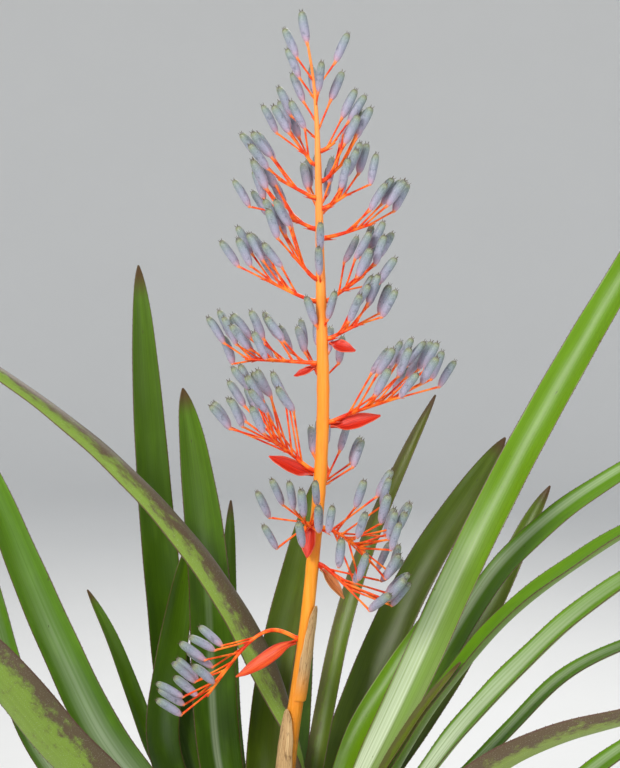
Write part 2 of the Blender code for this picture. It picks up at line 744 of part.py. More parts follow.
def make_sheath(name, rings, foot, length, bearing, wrap, soil_top):
    """A dry bract that clasps the stalk and narrows to a point."""
    bands = 8
    bearing = math.radians(bearing)
    wrap = math.radians(wrap)
    line = []
    widths = []
    half_angles = []
    for k in range(bands + 1):
        share = k / bands
        height = soil_top + (foot + length * share) * MILLIMETRE
        point, _, radius = stalk_at(rings, height)
        around = radius / math.cos(math.pi / STALK_SIDES) + GAP + BRACT_THICKNESS
        around += 0.0014 * share
        line.append(point + bearing_vector(bearing) * around)
        half_angle = max(wrap * math.sqrt(max(1.0 - share ** 2, 0.0)), math.radians(6))
        half_angles.append(half_angle)
        widths.append(2 * around * half_angle)
    side = Vector((math.sin(bearing), -math.cos(bearing), 0.0))
    turns = [0.0] * (bands + 1)
    bend_sheet(name, line, side, widths, half_angles, turns, BRACT_THICKNESS, "dry_sheath")


def join_flowers(body, flowers, name):
    """Grow the flowers onto the branch or stalk as one closed body."""
    editor = bmesh.new()
    for line, radii in flowers:
        sweep(editor, line, radii, FLOWER_SIDES)
    helper = add_piece(f"{name}_flowers", editor, "branch")
    hide_helper(helper)
    grown = body.modifiers.new("flowers", "BOOLEAN")
    grown.operation = "UNION"
    grown.object = helper
    grown.use_self = True


def make_stalk(rings, soil_top, taken):
    editor = bmesh.new()
    sweep(editor, [point for point, _ in rings], [radius for _, radius in rings], STALK_SIDES)
    stalk = add_piece("flower_stalk", editor, "stalk")
    flowers = []
    for height, bearing, rise, pedicel in LONE_FLOWERS:
        bearing = math.radians(bearing)
        rise = math.radians(rise)
        start = stalk_at(rings, soil_top + height * MILLIMETRE)[0]
        leave = bearing_vector(bearing, rise)
        bud_direction = bearing_vector(bearing, math.pi / 2 - LONE_BUD_LEAN)
        flowers.append(flower_shape(start, leave, pedicel * MILLIMETRE, bud_direction))
    top = rings[-1][0] - Vector((0.0, 0.0, 0.002))
    tip_direction = bearing_vector(math.radians(180), math.radians(80))
    flowers.append(flower_shape(top, tip_direction, 0.003, tip_direction))
    for flower, _ in flowers:
        taken.extend(flower_parts(flower))
    join_flowers(stalk, flowers, "flower_stalk")


def make_branch(name, line, bare, count, pedicel, spread, bud_lean, bearing, taken):
    editor = bmesh.new()
    radii = [BRANCH_RADIUS * (1.0 - 0.09 * k) for k in range(len(line))]
    sweep(editor, line, radii, BRANCH_SIDES)
    branch = add_piece(name, editor, "branch")
    outward = bearing_vector(bearing)
    fine = even_line(line, BRANCH_FINE_BANDS)
    directions = tangents(fine)
    flowers = []
    for k in range(count):
        share = (k + 0.5) / count
        place = round((bare + share * (0.975 - bare)) * BRANCH_FINE_BANDS)
        flower = place_flower(
            fine[place],
            directions[place],
            outward,
            share,
            k * GOLDEN_ANGLE,
            pedicel,
            spread,
            bud_lean,
            taken,
        )
        flowers.append(flower)
        taken.extend(flower_parts(flower[0]))
    join_flowers(branch, flowers, name)


def build():
    clear_scene()
    soil_top = POT_HEIGHT - WATERING_SPACE
    make_pot()
    make_soil_and_crown(soil_top)
    for leaf in LEAVES:
        make_leaf(*leaf, soil_top)
    rings = stalk_rings(soil_top)
    lines, taken = plan_branches(rings, soil_top)
    for name, branch, length, width, hang, roll in BRACTS:
        points, side = bract_line(lines[branch], length * MILLIMETRE, math.radians(hang))
        make_bract(name, points, side, width * MILLIMETRE, math.radians(roll))
        for a, b in zip(points, points[1:]):
            taken.append((a, b, width * MILLIMETRE * BRACT_ROOM_SHARE))
    make_stalk(rings, soil_top, taken)
    for name, _, bearing, _, _, _, bare, count, pedicel, spread, bud_lean in BRANCHES:
        make_branch(
            name,
            lines[name],
            bare / 100,
            count,
            pedicel * MILLIMETRE,
            math.radians(spread),
            math.radians(bud_lean),
            math.radians(bearing),
            taken,
        )
    for name, foot, length, bearing, wrap in SHEATHS:
        make_sheath(name, rings, foot, length, bearing, wrap, soil_top)


build()
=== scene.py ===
import math
import random

import bpy
from mathutils import Matrix, Vector


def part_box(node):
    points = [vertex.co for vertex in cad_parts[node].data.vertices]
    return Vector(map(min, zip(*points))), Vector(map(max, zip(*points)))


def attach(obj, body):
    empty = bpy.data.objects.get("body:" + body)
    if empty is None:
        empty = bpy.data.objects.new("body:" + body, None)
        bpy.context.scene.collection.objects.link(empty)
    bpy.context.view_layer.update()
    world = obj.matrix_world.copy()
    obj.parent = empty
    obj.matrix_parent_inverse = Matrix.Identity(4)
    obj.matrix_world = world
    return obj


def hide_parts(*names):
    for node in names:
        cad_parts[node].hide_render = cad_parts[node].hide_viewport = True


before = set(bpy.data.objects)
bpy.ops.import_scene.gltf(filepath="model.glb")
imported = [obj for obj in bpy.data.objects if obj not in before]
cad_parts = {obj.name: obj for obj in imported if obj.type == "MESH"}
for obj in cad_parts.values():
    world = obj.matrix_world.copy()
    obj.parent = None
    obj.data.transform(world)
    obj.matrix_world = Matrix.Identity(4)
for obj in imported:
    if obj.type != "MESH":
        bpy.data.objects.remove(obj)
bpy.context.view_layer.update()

mm = 0.001
gap = 0.0003  # between neighbouring pieces
potLow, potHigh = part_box("pot")
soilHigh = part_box("potting_mix")[1]
crownLow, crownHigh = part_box("crown")
soilTop, crownTop = soilHigh.z, crownHigh.z


def deselectAll():
    if bpy.context.object and bpy.context.object.mode != "OBJECT":
        bpy.ops.object.mode_set(mode="OBJECT")
    bpy.ops.object.select_all(action="DESELECT")


def makeActive(piece):
    deselectAll()
    piece.select_set(True)
    bpy.context.view_layer.objects.active = piece


def applyModifiers(piece):
    makeActive(piece)
    for modifier in list(piece.modifiers):
        bpy.ops.object.modifier_apply(modifier=modifier.name)


def subdivided(piece, levels):
    smoother = piece.modifiers.new("smoother", "SUBSURF")
    smoother.levels = levels
    smoother.render_levels = levels


def joinPieces(name, pieces):
    makeActive(pieces[0])
    for piece in pieces[1:]:
        piece.select_set(True)
    bpy.ops.object.join()
    joined = bpy.context.object
    joined.name = name
    joined.data.name = name
    return joined


def smoothShaded(piece, degrees=40):
    makeActive(piece)
    bpy.ops.object.shade_smooth_by_angle(angle=math.radians(degrees))


def addFinishes(piece, finishes):
    piece.data.materials.clear()
    for finish in finishes:
        piece.data.materials.append(finish)


def settle(piece, node):
    # the piece takes the place of its CAD node and goes with the pot
    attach(piece, "root")
    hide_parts(node)


def bearingVector(bearing, rise=0.0):
    level = math.cos(rise)
    return Vector((level * math.cos(bearing), level * math.sin(bearing), math.sin(rise)))


def smoothShare(value):
    value = min(max(value, 0.0), 1.0)
    return value * value * (3.0 - 2.0 * value)


def plantPoint(point):
    return Vector(point) * mm + Vector((0.0, 0.0, soilTop))


def curvePoint(points, share):
    ends = [points[0]] * 2 + list(points) + [points[-1]] * 2
    spans = len(ends) - 3
    place = min(share * spans, spans - 1e-9)
    start = int(place)
    t = place - start
    weights = (
        (1 - t) ** 3 / 6,
        (3 * t ** 3 - 6 * t ** 2 + 4) / 6,
        (-3 * t ** 3 + 3 * t ** 2 + 3 * t + 1) / 6,
        t ** 3 / 6,
    )
    return sum((ends[start + k] * w for k, w in enumerate(weights)), points[0] * 0.0)


def measuredCurve(points):
    fine = [curvePoint(points, k / 200) for k in range(201)]
    lengths = [0.0]
    for a, b in zip(fine, fine[1:]):
        lengths.append(lengths[-1] + (b - a).length)
    return fine, lengths


def pointsAlong(fine, lengths, stations):
    line = []
    step = 0
    for want in stations:
        while step < len(fine) - 2 and lengths[step + 1] < want:
            step += 1
        span = lengths[step + 1] - lengths[step]
        mix = (want - lengths[step]) / span if span > 0 else 0.0
        line.append(fine[step].lerp(fine[step + 1], min(mix, 1.0)))
    return line


def evenLine(points, bands):
    fine, lengths = measuredCurve(points)
    return pointsAlong(fine, lengths, [lengths[-1] * k / bands for k in range(bands + 1)])


def tangents(line):
    # half way between the steps before and after each point
    steps = [(after - before).normalized() for before, after in zip(line, line[1:])]
    turns = [(before + after).normalized() for before, after in zip(steps, steps[1:])]
    return [steps[0], *turns, steps[-1]]


def carriedSides(directions, firstSide):
    sides = [(firstSide - directions[0] * firstSide.dot(directions[0])).normalized()]
    for direction in directions[1:]:
        side = sides[-1] - direction * sides[-1].dot(direction)
        sides.append(side.normalized())
    return sides


def bentSheet(name, across, line, side, widths, halfAngles, turns, ripple=0.0):
    # a grid bent into a gutter along a line; its UV map runs across and along
    deselectAll()
    bands = len(line) - 1
    bpy.ops.mesh.primitive_grid_add(x_subdivisions=across, y_subdivisions=bands, size=1)
    sheet = bpy.context.object
    sheet.name = name
    directions = tangents(line)
    sides = carriedSides(directions, side)
    for vert in sheet.data.vertices:
        u = vert.co.x * 2.0
        k = round((vert.co.y + 0.5) * bands)
        normal = sides[k].cross(directions[k])
        flat = sides[k] * math.cos(turns[k]) + normal * math.sin(turns[k])
        inward = normal * math.cos(turns[k]) - sides[k] * math.sin(turns[k])
        radius = widths[k] / 2 / halfAngles[k]
        angle = u * halfAngles[k]
        wave = ripple * u * u * math.sin(k * 0.61 + u * 1.3) * math.sin(k * 0.17 + 2.0 * u)
        vert.co = line[k] + flat * (radius * math.sin(angle))
        vert.co += inward * (radius * (1.0 - math.cos(angle)) + wave)
    return sheet


def stemCurve(name, strands, roundness, finish):
    # every strand is a line of points with its own thickness at each, as one mesh
    deselectAll()
    curve = bpy.data.curves.new(name, "CURVE")
    curve.dimensions = "3D"
    curve.bevel_depth = 1.0
    curve.bevel_resolution = roundness
    curve.use_fill_caps = True
    for points, radii in strands:
        spline = curve.splines.new("POLY")
        spline.points.add(len(points) - 1)
        for spot, point, radius in zip(spline.points, points, radii):
            spot.co = (*point, 1.0)
            spot.radius = radius
    stem = bpy.data.objects.new(name, curve)
    bpy.context.collection.objects.link(stem)
    makeActive(stem)
    bpy.ops.object.convert(target="MESH")
    stem = bpy.context.object
    bpy.ops.object.mode_set(mode="EDIT")
    bpy.ops.mesh.select_all(action="SELECT")
    bpy.ops.mesh.remove_doubles(threshold=0.00001)
    bpy.ops.mesh.normals_make_consistent(inside=False)
    bpy.ops.object.mode_set(mode="OBJECT")
    addFinishes(stem, [finish])
    return stem


def turnedBody(name, sides, profile):
    # a filled circle drawn up ring by ring and resized at each, as on a wheel
    deselectAll()
    radius, height = profile[0]
    bpy.ops.mesh.primitive_circle_add(
        vertices=sides, radius=radius, fill_type="NGON", location=(0, 0, height)
    )
    body = bpy.context.object
    body.name = name
    bpy.ops.object.transform_apply(location=True, rotation=False, scale=False)
    bpy.ops.object.mode_set(mode="EDIT")
    bpy.ops.mesh.select_all(action="SELECT")
    for nextRadius, nextHeight in profile[1:]:
        lift = (0, 0, nextHeight - height)
        bpy.ops.mesh.extrude_region_move(TRANSFORM_OT_translate={"value": lift})
        share = nextRadius / radius
        bpy.ops.transform.resize(value=(share, share, 1), center_override=(0, 0, nextHeight))
        radius, height = nextRadius, nextHeight
    bpy.ops.mesh.select_all(action="SELECT")
    bpy.ops.mesh.normals_make_consistent(inside=False)
    bpy.ops.object.mode_set(mode="OBJECT")
    return body


def startFinish(name, **sockets):
    finish = bpy.data.materials.new(name)
    finish.use_nodes = True
    tree = finish.node_tree
    shader = tree.nodes["Principled BSDF"]
    for socket, value in sockets.items():
        shader.inputs[socket.replace("_", " ")].default_value = value
    return finish, tree, shader


def addNode(tree, kind, feeds=None, **settings):
    node = tree.nodes.new("ShaderNode" + kind)
    for name, value in settings.items():
        setattr(node, name, value)
    for socket, value in (feeds or {}).items():
        if isinstance(value, bpy.types.NodeSocket):
            tree.links.new(value, node.inputs[socket])
        else:
            node.inputs[socket].default_value = value
    return node


def maths(tree, operation, a, b=0.0):
    return addNode(tree, "Math", {0: a, 1: b}, operation=operation).outputs[0]


def between(tree, value, low, high, fromValue=0.0, toValue=1.0):
    # eases from one value to the other as the input goes from low to high
    feeds = {
        "Value": value, "From Min": low, "From Max": high, "To Min": fromValue, "To Max": toValue,
    }
    return addNode(tree, "MapRange", feeds, interpolation_type="SMOOTHSTEP").outputs[0]


def swung(tree, spots, amount, middle=0.5):
    # spots that swing either side of nothing
    return maths(tree, "MULTIPLY", maths(tree, "SUBTRACT", spots, middle), amount)


def mixed(tree, share, first, second):
    def colour(value):
        return value if isinstance(value, bpy.types.NodeSocket) else (*value, 1.0)
    feeds = {0: share, 6: colour(first), 7: colour(second)}
    return addNode(tree, "Mix", feeds, data_type="RGBA").outputs[2]


def colourRamp(tree, value, stops):
    ramp = addNode(tree, "ValToRGB", {0: value})
    stops = sorted(stops)
    for place, colour in stops[1:-1]:
        ramp.color_ramp.elements.new(place)
    for element, (place, colour) in zip(ramp.color_ramp.elements, stops):
        element.position = place
        element.color = (*colour, 1.0)
    return ramp.outputs[0]


def objectSpots(tree, scale, stretch=(1, 1, 1), detail=4.0, roughness=0.55, offset=(0, 0, 0)):
    place = addNode(tree, "TexCoord").outputs["Object"]
    feeds = {"Vector": place, "Scale": stretch, "Location": offset}
    place = addNode(tree, "Mapping", feeds).outputs[0]
    feeds = {"Vector": place, "Scale": scale, "Detail": detail, "Roughness": roughness}
    return addNode(tree, "TexNoise", feeds).outputs[0]


def sheetPlace(tree):
    # shares across and along a bent sheet
    spot = addNode(tree, "SeparateXYZ", {0: addNode(tree, "TexCoord").outputs["UV"]})
    return spot.outputs[0], spot.outputs[1]


def objectHeight(tree):
    place = addNode(tree, "TexCoord").outputs["Object"]
    return addNode(tree, "SeparateXYZ", {0: place}).outputs[2]


def rimOf(tree, across):
    return maths(tree, "ABSOLUTE", maths(tree, "SUBTRACT", across, 0.5))


def tinted(colour, share):
    return [part * share for part in colour]


def sheetSpots(tree, across, along, detail=3.0, roughness=0.5, offset=0.0):
    place = addNode(tree, "TexCoord").outputs["UV"]
    feeds = {"Vector": place, "Scale": (across, along, 1.0), "Location": (offset, offset, 0.0)}
    place = addNode(tree, "Mapping", feeds).outputs[0]
    feeds = {"Vector": place, "Scale": 1.0, "Detail": detail, "Roughness": roughness}
    return addNode(tree, "TexNoise", feeds).outputs[0]


def addBump(tree, shader, height, strength, distance):
    feeds = {"Height": height, "Strength": strength, "Distance": distance}
    bump = addNode(tree, "Bump", feeds)
    tree.links.new(bump.outputs[0], shader.inputs["Normal"])


def paint(tree, shader, colour, roughness=None):
    tree.links.new(colour, shader.inputs["Base Color"])
    if roughness is not None:
        tree.links.new(roughness, shader.inputs["Roughness"])


# a green upper face with a pale stripe of painted sheen (light reflecting off its wax, painted into the
# colour), a paler underside and a dark toothed edge
commonLook = dict(
    blushEdge=1.0, blushFrom=(-0.12, 0.46), blush=(0.085, 0.040, 0.036),
    paintedSheen=(0.66, 0.76, 0.55), dryTip=(0.085, 0.035, 0.016),
)
leafLooks = {
    # the pale half of this upper face is painted sheen, a painted reflection of light off the channelled
    # leaf
    "halfPale": dict(
        foot=(0.34, 0.42, 0.20), middle=(0.125, 0.255, 0.004), tip=(0.110, 0.235, 0.003),
        paintedSheenFrom=(0.02, 0.10), paintedSheenTo=(0.46, 0.53), paintedSheenStrength=1.05, paintedSheenReach=0.60,
        under=(0.18, 0.30, 0.035), purple=0.10, upperBlush=0.0,
        edge=(0.16, 0.10, 0.03),
    ),
    # the white half of this upper face is painted sheen, a painted reflection of light off the leaf
    "whiteHalf": dict(
        foot=(0.34, 0.42, 0.20), middle=(0.095, 0.22, 0.004), tip=(0.125, 0.27, 0.005),
        paintedSheenFrom=(0.04, 0.14), paintedSheenTo=(0.44, 0.58), paintedSheenStrength=1.15, paintedSheenReach=1.10,
        under=(0.18, 0.31, 0.04), purple=0.05, upperBlush=0.0,
        edge=(0.20, 0.24, 0.05),
    ),
    "stripedUpper": dict(
        foot=(0.20, 0.32, 0.06), middle=(0.095, 0.225, 0.004), tip=(0.125, 0.27, 0.005),
        paintedSheenFrom=(0.08, 0.20), paintedSheenTo=(0.34, 0.50), paintedSheenStrength=0.80, paintedSheenReach=1.35,
        under=(0.17, 0.29, 0.035), purple=0.05, upperBlush=0.0,
        edge=(0.14, 0.14, 0.03),
    ),
    "twoTone": dict(
        foot=(0.18, 0.32, 0.04), middle=(0.090, 0.215, 0.003), tip=(0.120, 0.26, 0.004),
        paintedSheenFrom=(0.50, 0.56), paintedSheenTo=(0.84, 0.98), paintedSheenStrength=0.36, paintedSheenReach=1.4,
        under=(0.19, 0.31, 0.04), purple=0.05, upperBlush=0.0,
        edge=(0.12, 0.12, 0.03),
    ),
    "glossy": dict(
        foot=(0.20, 0.30, 0.08), middle=(0.070, 0.165, 0.004), tip=(0.095, 0.215, 0.004),
        paintedSheenFrom=(0.10, 0.50), paintedSheenTo=(0.50, 0.88), paintedSheenStrength=0.72, paintedSheenReach=0.85,
        under=(0.15, 0.24, 0.03), purple=0.10, upperBlush=0.0,
        edge=(0.14, 0.10, 0.03),
    ),
    "streaked": dict(
        foot=(0.065, 0.13, 0.014), middle=(0.045, 0.105, 0.003), tip=(0.085, 0.185, 0.004),
        paintedSheenFrom=(0.36, 0.47), paintedSheenTo=(0.50, 0.60), paintedSheenStrength=0.55, paintedSheenReach=0.80,
        under=(0.12, 0.19, 0.02), purple=0.10, upperBlush=0.0,
        edge=(0.10, 0.05, 0.02),
    ),
    # darker greens painted as shade, for leaves that stand behind the others in shadow
    "shadedGreen": dict(
        foot=(0.045, 0.09, 0.005), middle=(0.040, 0.090, 0.003), tip=(0.075, 0.155, 0.004),
        paintedSheenFrom=(0.30, 0.48), paintedSheenTo=(0.52, 0.70), paintedSheenStrength=0.06, paintedSheenReach=0.55,
        under=(0.12, 0.19, 0.02), purple=0.15, upperBlush=0.0,
        edge=(0.10, 0.045, 0.018),
    ),
    # darker olive greens painted as shade for leaves behind the others, with a little real purple blush
    "shadedOlive": dict(
        foot=(0.050, 0.08, 0.005), middle=(0.058, 0.095, 0.003), tip=(0.085, 0.135, 0.004),
        paintedSheenFrom=(0.30, 0.48), paintedSheenTo=(0.52, 0.70), paintedSheenStrength=0.05, paintedSheenReach=0.55,
        under=(0.13, 0.18, 0.02), purple=0.25, upperBlush=0.12,
        edge=(0.11, 0.045, 0.018),
    ),
    "redEdged": dict(
        foot=(0.10, 0.15, 0.015), middle=(0.11, 0.18, 0.012), tip=(0.12, 0.13, 0.015),
        paintedSheenFrom=(0.30, 0.50), paintedSheenTo=(0.52, 0.74), paintedSheenStrength=0.14, paintedSheenReach=0.6,
        under=(0.15, 0.21, 0.03), purple=0.55, upperBlush=0.55,
        blushEdge=-1.0,
        edge=(0.16, 0.035, 0.02),
    ),
    "mottled": dict(
        foot=(0.26, 0.36, 0.08), middle=(0.15, 0.26, 0.012), tip=(0.13, 0.27, 0.008),
        paintedSheenFrom=(0.20, 0.45), paintedSheenTo=(0.50, 0.78), paintedSheenStrength=0.30, paintedSheenReach=0.6,
        under=(0.24, 0.33, 0.055), purple=1.0, upperBlush=0.9,
        edge=(0.085, 0.032, 0.03),
    ),
    "mottledNear": dict(
        foot=(0.24, 0.33, 0.06), middle=(0.16, 0.25, 0.016), tip=(0.14, 0.25, 0.010),
        paintedSheenFrom=(0.20, 0.45), paintedSheenTo=(0.50, 0.78), paintedSheenStrength=0.12, paintedSheenReach=0.6,
        under=(0.20, 0.31, 0.04), purple=1.0, upperBlush=1.0,
        blushEdge=-1.0,
        edge=(0.085, 0.032, 0.03),
    ),
}
leafLooks["mottledArch"] = dict(leafLooks["mottledNear"], blushFrom=(-0.48, 0.16))

leafShape = dict(
    thickness=0.0012, clearance=0.0009, crownShoulder=0.0020, crownTopRadius=0.0125,
    sheathHeight=0.036, sheathAngle=48, throatHeight=0.080, throatFlare=1.9,
    turnStart=0.080, turnLength=0.200, coarseCells=4, cellsAcross=8, cellLength=0.0085,
    ripple=0.0007, waistDepth=0.16, waistEnd=0.10, waistLength=0.30, taper=0.22,
    tipPower=7, tipRoundness=0.62, tipWidth=0.0016,
)
toothShape = dict(
    firstAt=0.07, spacing=0.0072, height=0.0009, width=0.0010, hook=0.8, thickness=0.45,
    sunk=0.0004, closest=0.7, spread=0.6, spreadStep=0.155,
)

# ring counts the leaves outwards; paths in millimetres from the middle of the soil's top
leafPlan = {
    "leaf_arching": dict(
        ring=0, bearing=75, width=38, gutter=48, turn=140, endTurn=92, look="mottledArch",
        path=[(34, 40, 187), (2, 47, 255), (-33, 52, 328), (-74, 52, 389), (-138, 52, 461),
              (-190, 50, 503), (-242, 46, 543), (-320, 40, 590)],
    ),
    "leaf_behind_stalk": dict(
        ring=1, bearing=112, width=42, gutter=30, turn=0, endTurn=0, look="shadedOlive",
        path=[(-14, 64, 168), (-8, 80, 246), (7, 100, 315), (23, 112, 378), (38, 122, 438)],
    ),
    "leaf_slender_right": dict(
        ring=2, bearing=62, width=22, gutter=34, turn=-15, endTurn=-15, look="redEdged",
        path=[(35, 68, 178), (53, 90, 280), (71, 110, 341), (94, 122, 401), (126, 132, 469),
              (147, 140, 510)],
    ),
    "leaf_bright_right": dict(
        ring=1, bearing=5, width=40, gutter=34, turn=-58, endTurn=-58, look="halfPale",
        path=[(85, 4, 198), (125, 12, 282), (165, 24, 371), (223, 40, 484), (301, 54, 617),
              (386, 64, 762)],
    ),
    "leaf_pale_left": dict(
        ring=2, bearing=188, width=48, gutter=36, turn=58, endTurn=58, look="glossy",
        path=[(-139, -10, 202), (-167, -22, 268), (-205, -38, 363), (-250, -58, 502)],
    ),
    "leaf_striped_back": dict(
        ring=3, bearing=133, width=52, gutter=26, turn=15, endTurn=15, look="streaked",
        path=[(-56, 72, 176), (-60, 88, 254), (-63, 102, 339), (-73, 113, 428),
              (-87, 122, 518)],
    ),
    "leaf_small_right": dict(
        ring=3, bearing=-20, width=20, gutter=40, turn=-45, endTurn=-45, look="redEdged",
        path=[(102, -28, 221), (127, -32, 262), (157, -37, 301)],
    ),
    "leaf_low_right": dict(
        ring=4, bearing=38, width=28, gutter=36, turn=-30, endTurn=-30, look="halfPale",
        path=[(66, 58, 201), (89, 70, 239), (112, 80, 273), (141, 92, 319)],
    ),
    "leaf_leaning_left": dict(
        ring=4, bearing=152, width=42, gutter=30, turn=25, endTurn=25, look="shadedGreen",
        path=[(-114, 78, 175), (-104, 100, 240), (-92, 118, 320), (-82, 128, 374)],
    ),
    "leaf_two_tone_right": dict(
        ring=5, bearing=-18, width=54, gutter=46, turn=-14, endTurn=-14, look="twoTone",
        path=[(106, -32, 207), (131, -36, 256), (176, -46, 318), (211, -51, 357),
              (285, -60, 411), (352, -62, 450)],
    ),
    "leaf_short_back": dict(
        ring=8, bearing=112, width=24, gutter=30, turn=0, endTurn=0, look="shadedGreen",
        path=[(-47, 150, 164), (-50, 172, 315), (-46, 186, 404)],
    ),
    "leaf_broad_behind": dict(
        ring=6, bearing=64, width=46, gutter=28, turn=-15, endTurn=-15, look="shadedOlive",
        path=[(58, 104, 167), (72, 122, 207), (101, 142, 278), (139, 162, 350),
              (178, 180, 405), (219, 200, 463)],
    ),
    "leaf_purple_edge_left": dict(
        ring=6, bearing=214, width=50, gutter=34, turn=-58, endTurn=-58, look="mottledNear",
        path=[(-155, -110, 232), (-182, -138, 278), (-207, -168, 328), (-286, -220, 424)],
    ),
    "leaf_tall_back": dict(
        ring=7, bearing=128, width=42, gutter=26, turn=20, endTurn=20, look="shadedGreen",
        path=[(-92, 118, 172), (-106, 136, 307), (-119, 150, 431), (-131, 164, 630)],
    ),
    "leaf_upper_right": dict(
        ring=7, bearing=24, width=34, gutter=32, turn=-20, endTurn=-20, look="stripedUpper",
        path=[(110, 62, 208), (183, 74, 331), (206, 78, 362), (251, 84, 404), (311, 92, 444),
              (404, 102, 492)],
    ),
    "leaf_front_short": dict(
        ring=7, bearing=266, width=38, gutter=34, turn=0, endTurn=0, look="glossy",
        path=[(-12, -90, 100), (-18, -165, 150), (-24, -250, 150), (-30, -330, 92)],
    ),
    "leaf_white_right": dict(
        ring=8, bearing=-33, width=50, gutter=34, turn=-34, endTurn=-34, look="whiteHalf",
        path=[(133, -72, 220), (160, -86, 263), (198, -98, 306), (252, -110, 368),
              (339, -122, 421)],
    ),
    "leaf_edge_left": dict(
        ring=8, bearing=180, width=36, gutter=34, turn=38, endTurn=38, look="glossy",
        path=[(-206, 26, 172), (-242, 34, 289), (-262, 42, 373), (-297, 50, 498)],
    ),
    "leaf_dark_right": dict(
        ring=8, bearing=52, width=34, gutter=30, turn=-20, endTurn=-20, look="shadedOlive",
        path=[(142, 120, 216), (176, 140, 268), (210, 152, 323), (234, 162, 379),
              (259, 172, 420)],
    ),
    "leaf_dark_left": dict(
        ring=9, bearing=128, width=22, gutter=32, turn=15, endTurn=15, look="shadedGreen",
        path=[(-112, 124, 161), (-124, 134, 190), (-155, 150, 275), (-182, 160, 322)],
    ),
    "leaf_under_right": dict(
        ring=9, bearing=-6, width=30, gutter=38, turn=-18, endTurn=-18, look="stripedUpper",
        path=[(174, -28, 207), (216, -30, 258), (253, -31, 294), (292, -32, 311),
              (361, -32, 340)],
    ),
    "leaf_front_left": dict(
        ring=9, bearing=238, width=44, gutter=34, turn=0, endTurn=0, look="glossy",
        path=[(-80, -110, 110), (-130, -190, 170), (-180, -262, 180), (-225, -330, 135)],
    ),
    "leaf_foreground": dict(
        ring=10, bearing=-50, width=44, gutter=40, turn=22, endTurn=22, look="mottled",
        path=[(146, -160, 232), (203, -204, 281), (259, -224, 302), (336, -246, 330)],
    ),
    "leaf_front_right": dict(
        ring=12, bearing=285, width=42, gutter=34, turn=0, endTurn=0, look="whiteHalf",
        path=[(42, -112, 100), (70, -190, 146), (100, -270, 150), (126, -345, 100)],
    ),
    "leaf_corner_right": dict(
        ring=11, bearing=-26, width=38, gutter=36, turn=-30, endTurn=-30, look="stripedUpper",
        path=[(214, -116, 186), (252, -132, 234), (285, -142, 262), (337, -150, 300)],
    ),
    "leaf_back": dict(
        ring=11, bearing=92, width=42, gutter=34, turn=0, endTurn=0, look="shadedGreen",
        path=[(6, 120, 100), (14, 190, 190), (20, 262, 250), (26, 330, 262)],
    ),
}


def withBlush(tree, colour, across, look, strength):
    # purple-brown blush, deepest along one edge and broken into blots
    blots = sheetSpots(tree, 6.0, 40.0, detail=6.0, roughness=0.68, offset=3.0)
    clouds = sheetSpots(tree, 2.0, 9.0, detail=3.0, roughness=0.5, offset=1.0)
    edgeBlush = between(tree, swung(tree, across, look["blushEdge"]), *look["blushFrom"])
    blush = maths(tree, "ADD", edgeBlush, swung(tree, blots, 2.6))
    blush = maths(tree, "ADD", blush, swung(tree, clouds, 0.9, middle=0.45))
    blush = maths(tree, "MULTIPLY", between(tree, blush, 0.18, 0.88, 0.0, 0.88), strength)
    return mixed(tree, blush, colour, look["blush"])


def leafUpperFinish(name, look):
    finish, tree, shader = startFinish(
        name, Roughness=0.40, Coat_Weight=0.06, Coat_Roughness=0.30, Specular_IOR_Level=0.24
    )
    across, along = sheetPlace(tree)
    warped = maths(tree, "ADD", along, swung(tree, sheetSpots(tree, 1.2, 5.0, detail=2.0), 0.25))
    stops = [(0.0, look["foot"]), (1.0, look["tip"]), (0.52, look["middle"])]
    colour = colourRamp(tree, warped, stops)
    veins = sheetSpots(tree, 34.0, 1.4, detail=4.0, roughness=0.65)
    darker = between(tree, veins, 0.35, 0.68, 0.0, 0.42)
    colour = mixed(tree, darker, colour, tinted(look["middle"], 0.52))
    drift = between(tree, sheetSpots(tree, 2.5, 9.0, detail=3.0, offset=4.0), 0.45, 0.75, 0.0, 0.35)
    colour = mixed(tree, drift, colour, tinted(look["tip"], 1.35))
    # painted sheen: a pale stripe of painted reflection off the waxy face, widest low on the leaf
    stripe = between(tree, across, *look["paintedSheenFrom"])
    stripe = maths(tree, "MULTIPLY", stripe, between(tree, across, *look["paintedSheenTo"], 1.0, 0.0))
    fade = between(tree, warped, 0.12, look["paintedSheenReach"], 1.0, 0.0)
    streaks = between(tree, sheetSpots(tree, 22.0, 0.9, detail=3.0, offset=9.0), 0.30, 0.60, 0.45, 1.0)
    paintedSheen = maths(tree, "MULTIPLY", maths(tree, "MULTIPLY", stripe, fade), streaks)
    paintedSheen = maths(tree, "MULTIPLY", paintedSheen, look["paintedSheenStrength"])
    colour = mixed(tree, paintedSheen, colour, look["paintedSheen"])
    if look["upperBlush"] > 0:
        colour = withBlush(tree, colour, across, look, look["upperBlush"])
    # dark line at both edges, brown tip and a few scars
    rim = between(tree, rimOf(tree, across), 0.462, 0.492, 0.0, 0.85)
    colour = mixed(tree, rim, colour, look["edge"])
    colour = mixed(tree, between(tree, along, 0.945, 0.992, 0.0, 0.9), colour, look["dryTip"])
    scars = between(tree, sheetSpots(tree, 9.0, 70.0, detail=2.0, offset=2.0), 0.715, 0.76, 0.0, 0.75)
    colour = mixed(tree, scars, colour, (0.055, 0.06, 0.015))
    paint(tree, shader, colour, between(tree, paintedSheen, 0.0, 0.8, 0.34, 0.46))
    addBump(tree, shader, veins, 0.35, 0.0004)
    return finish


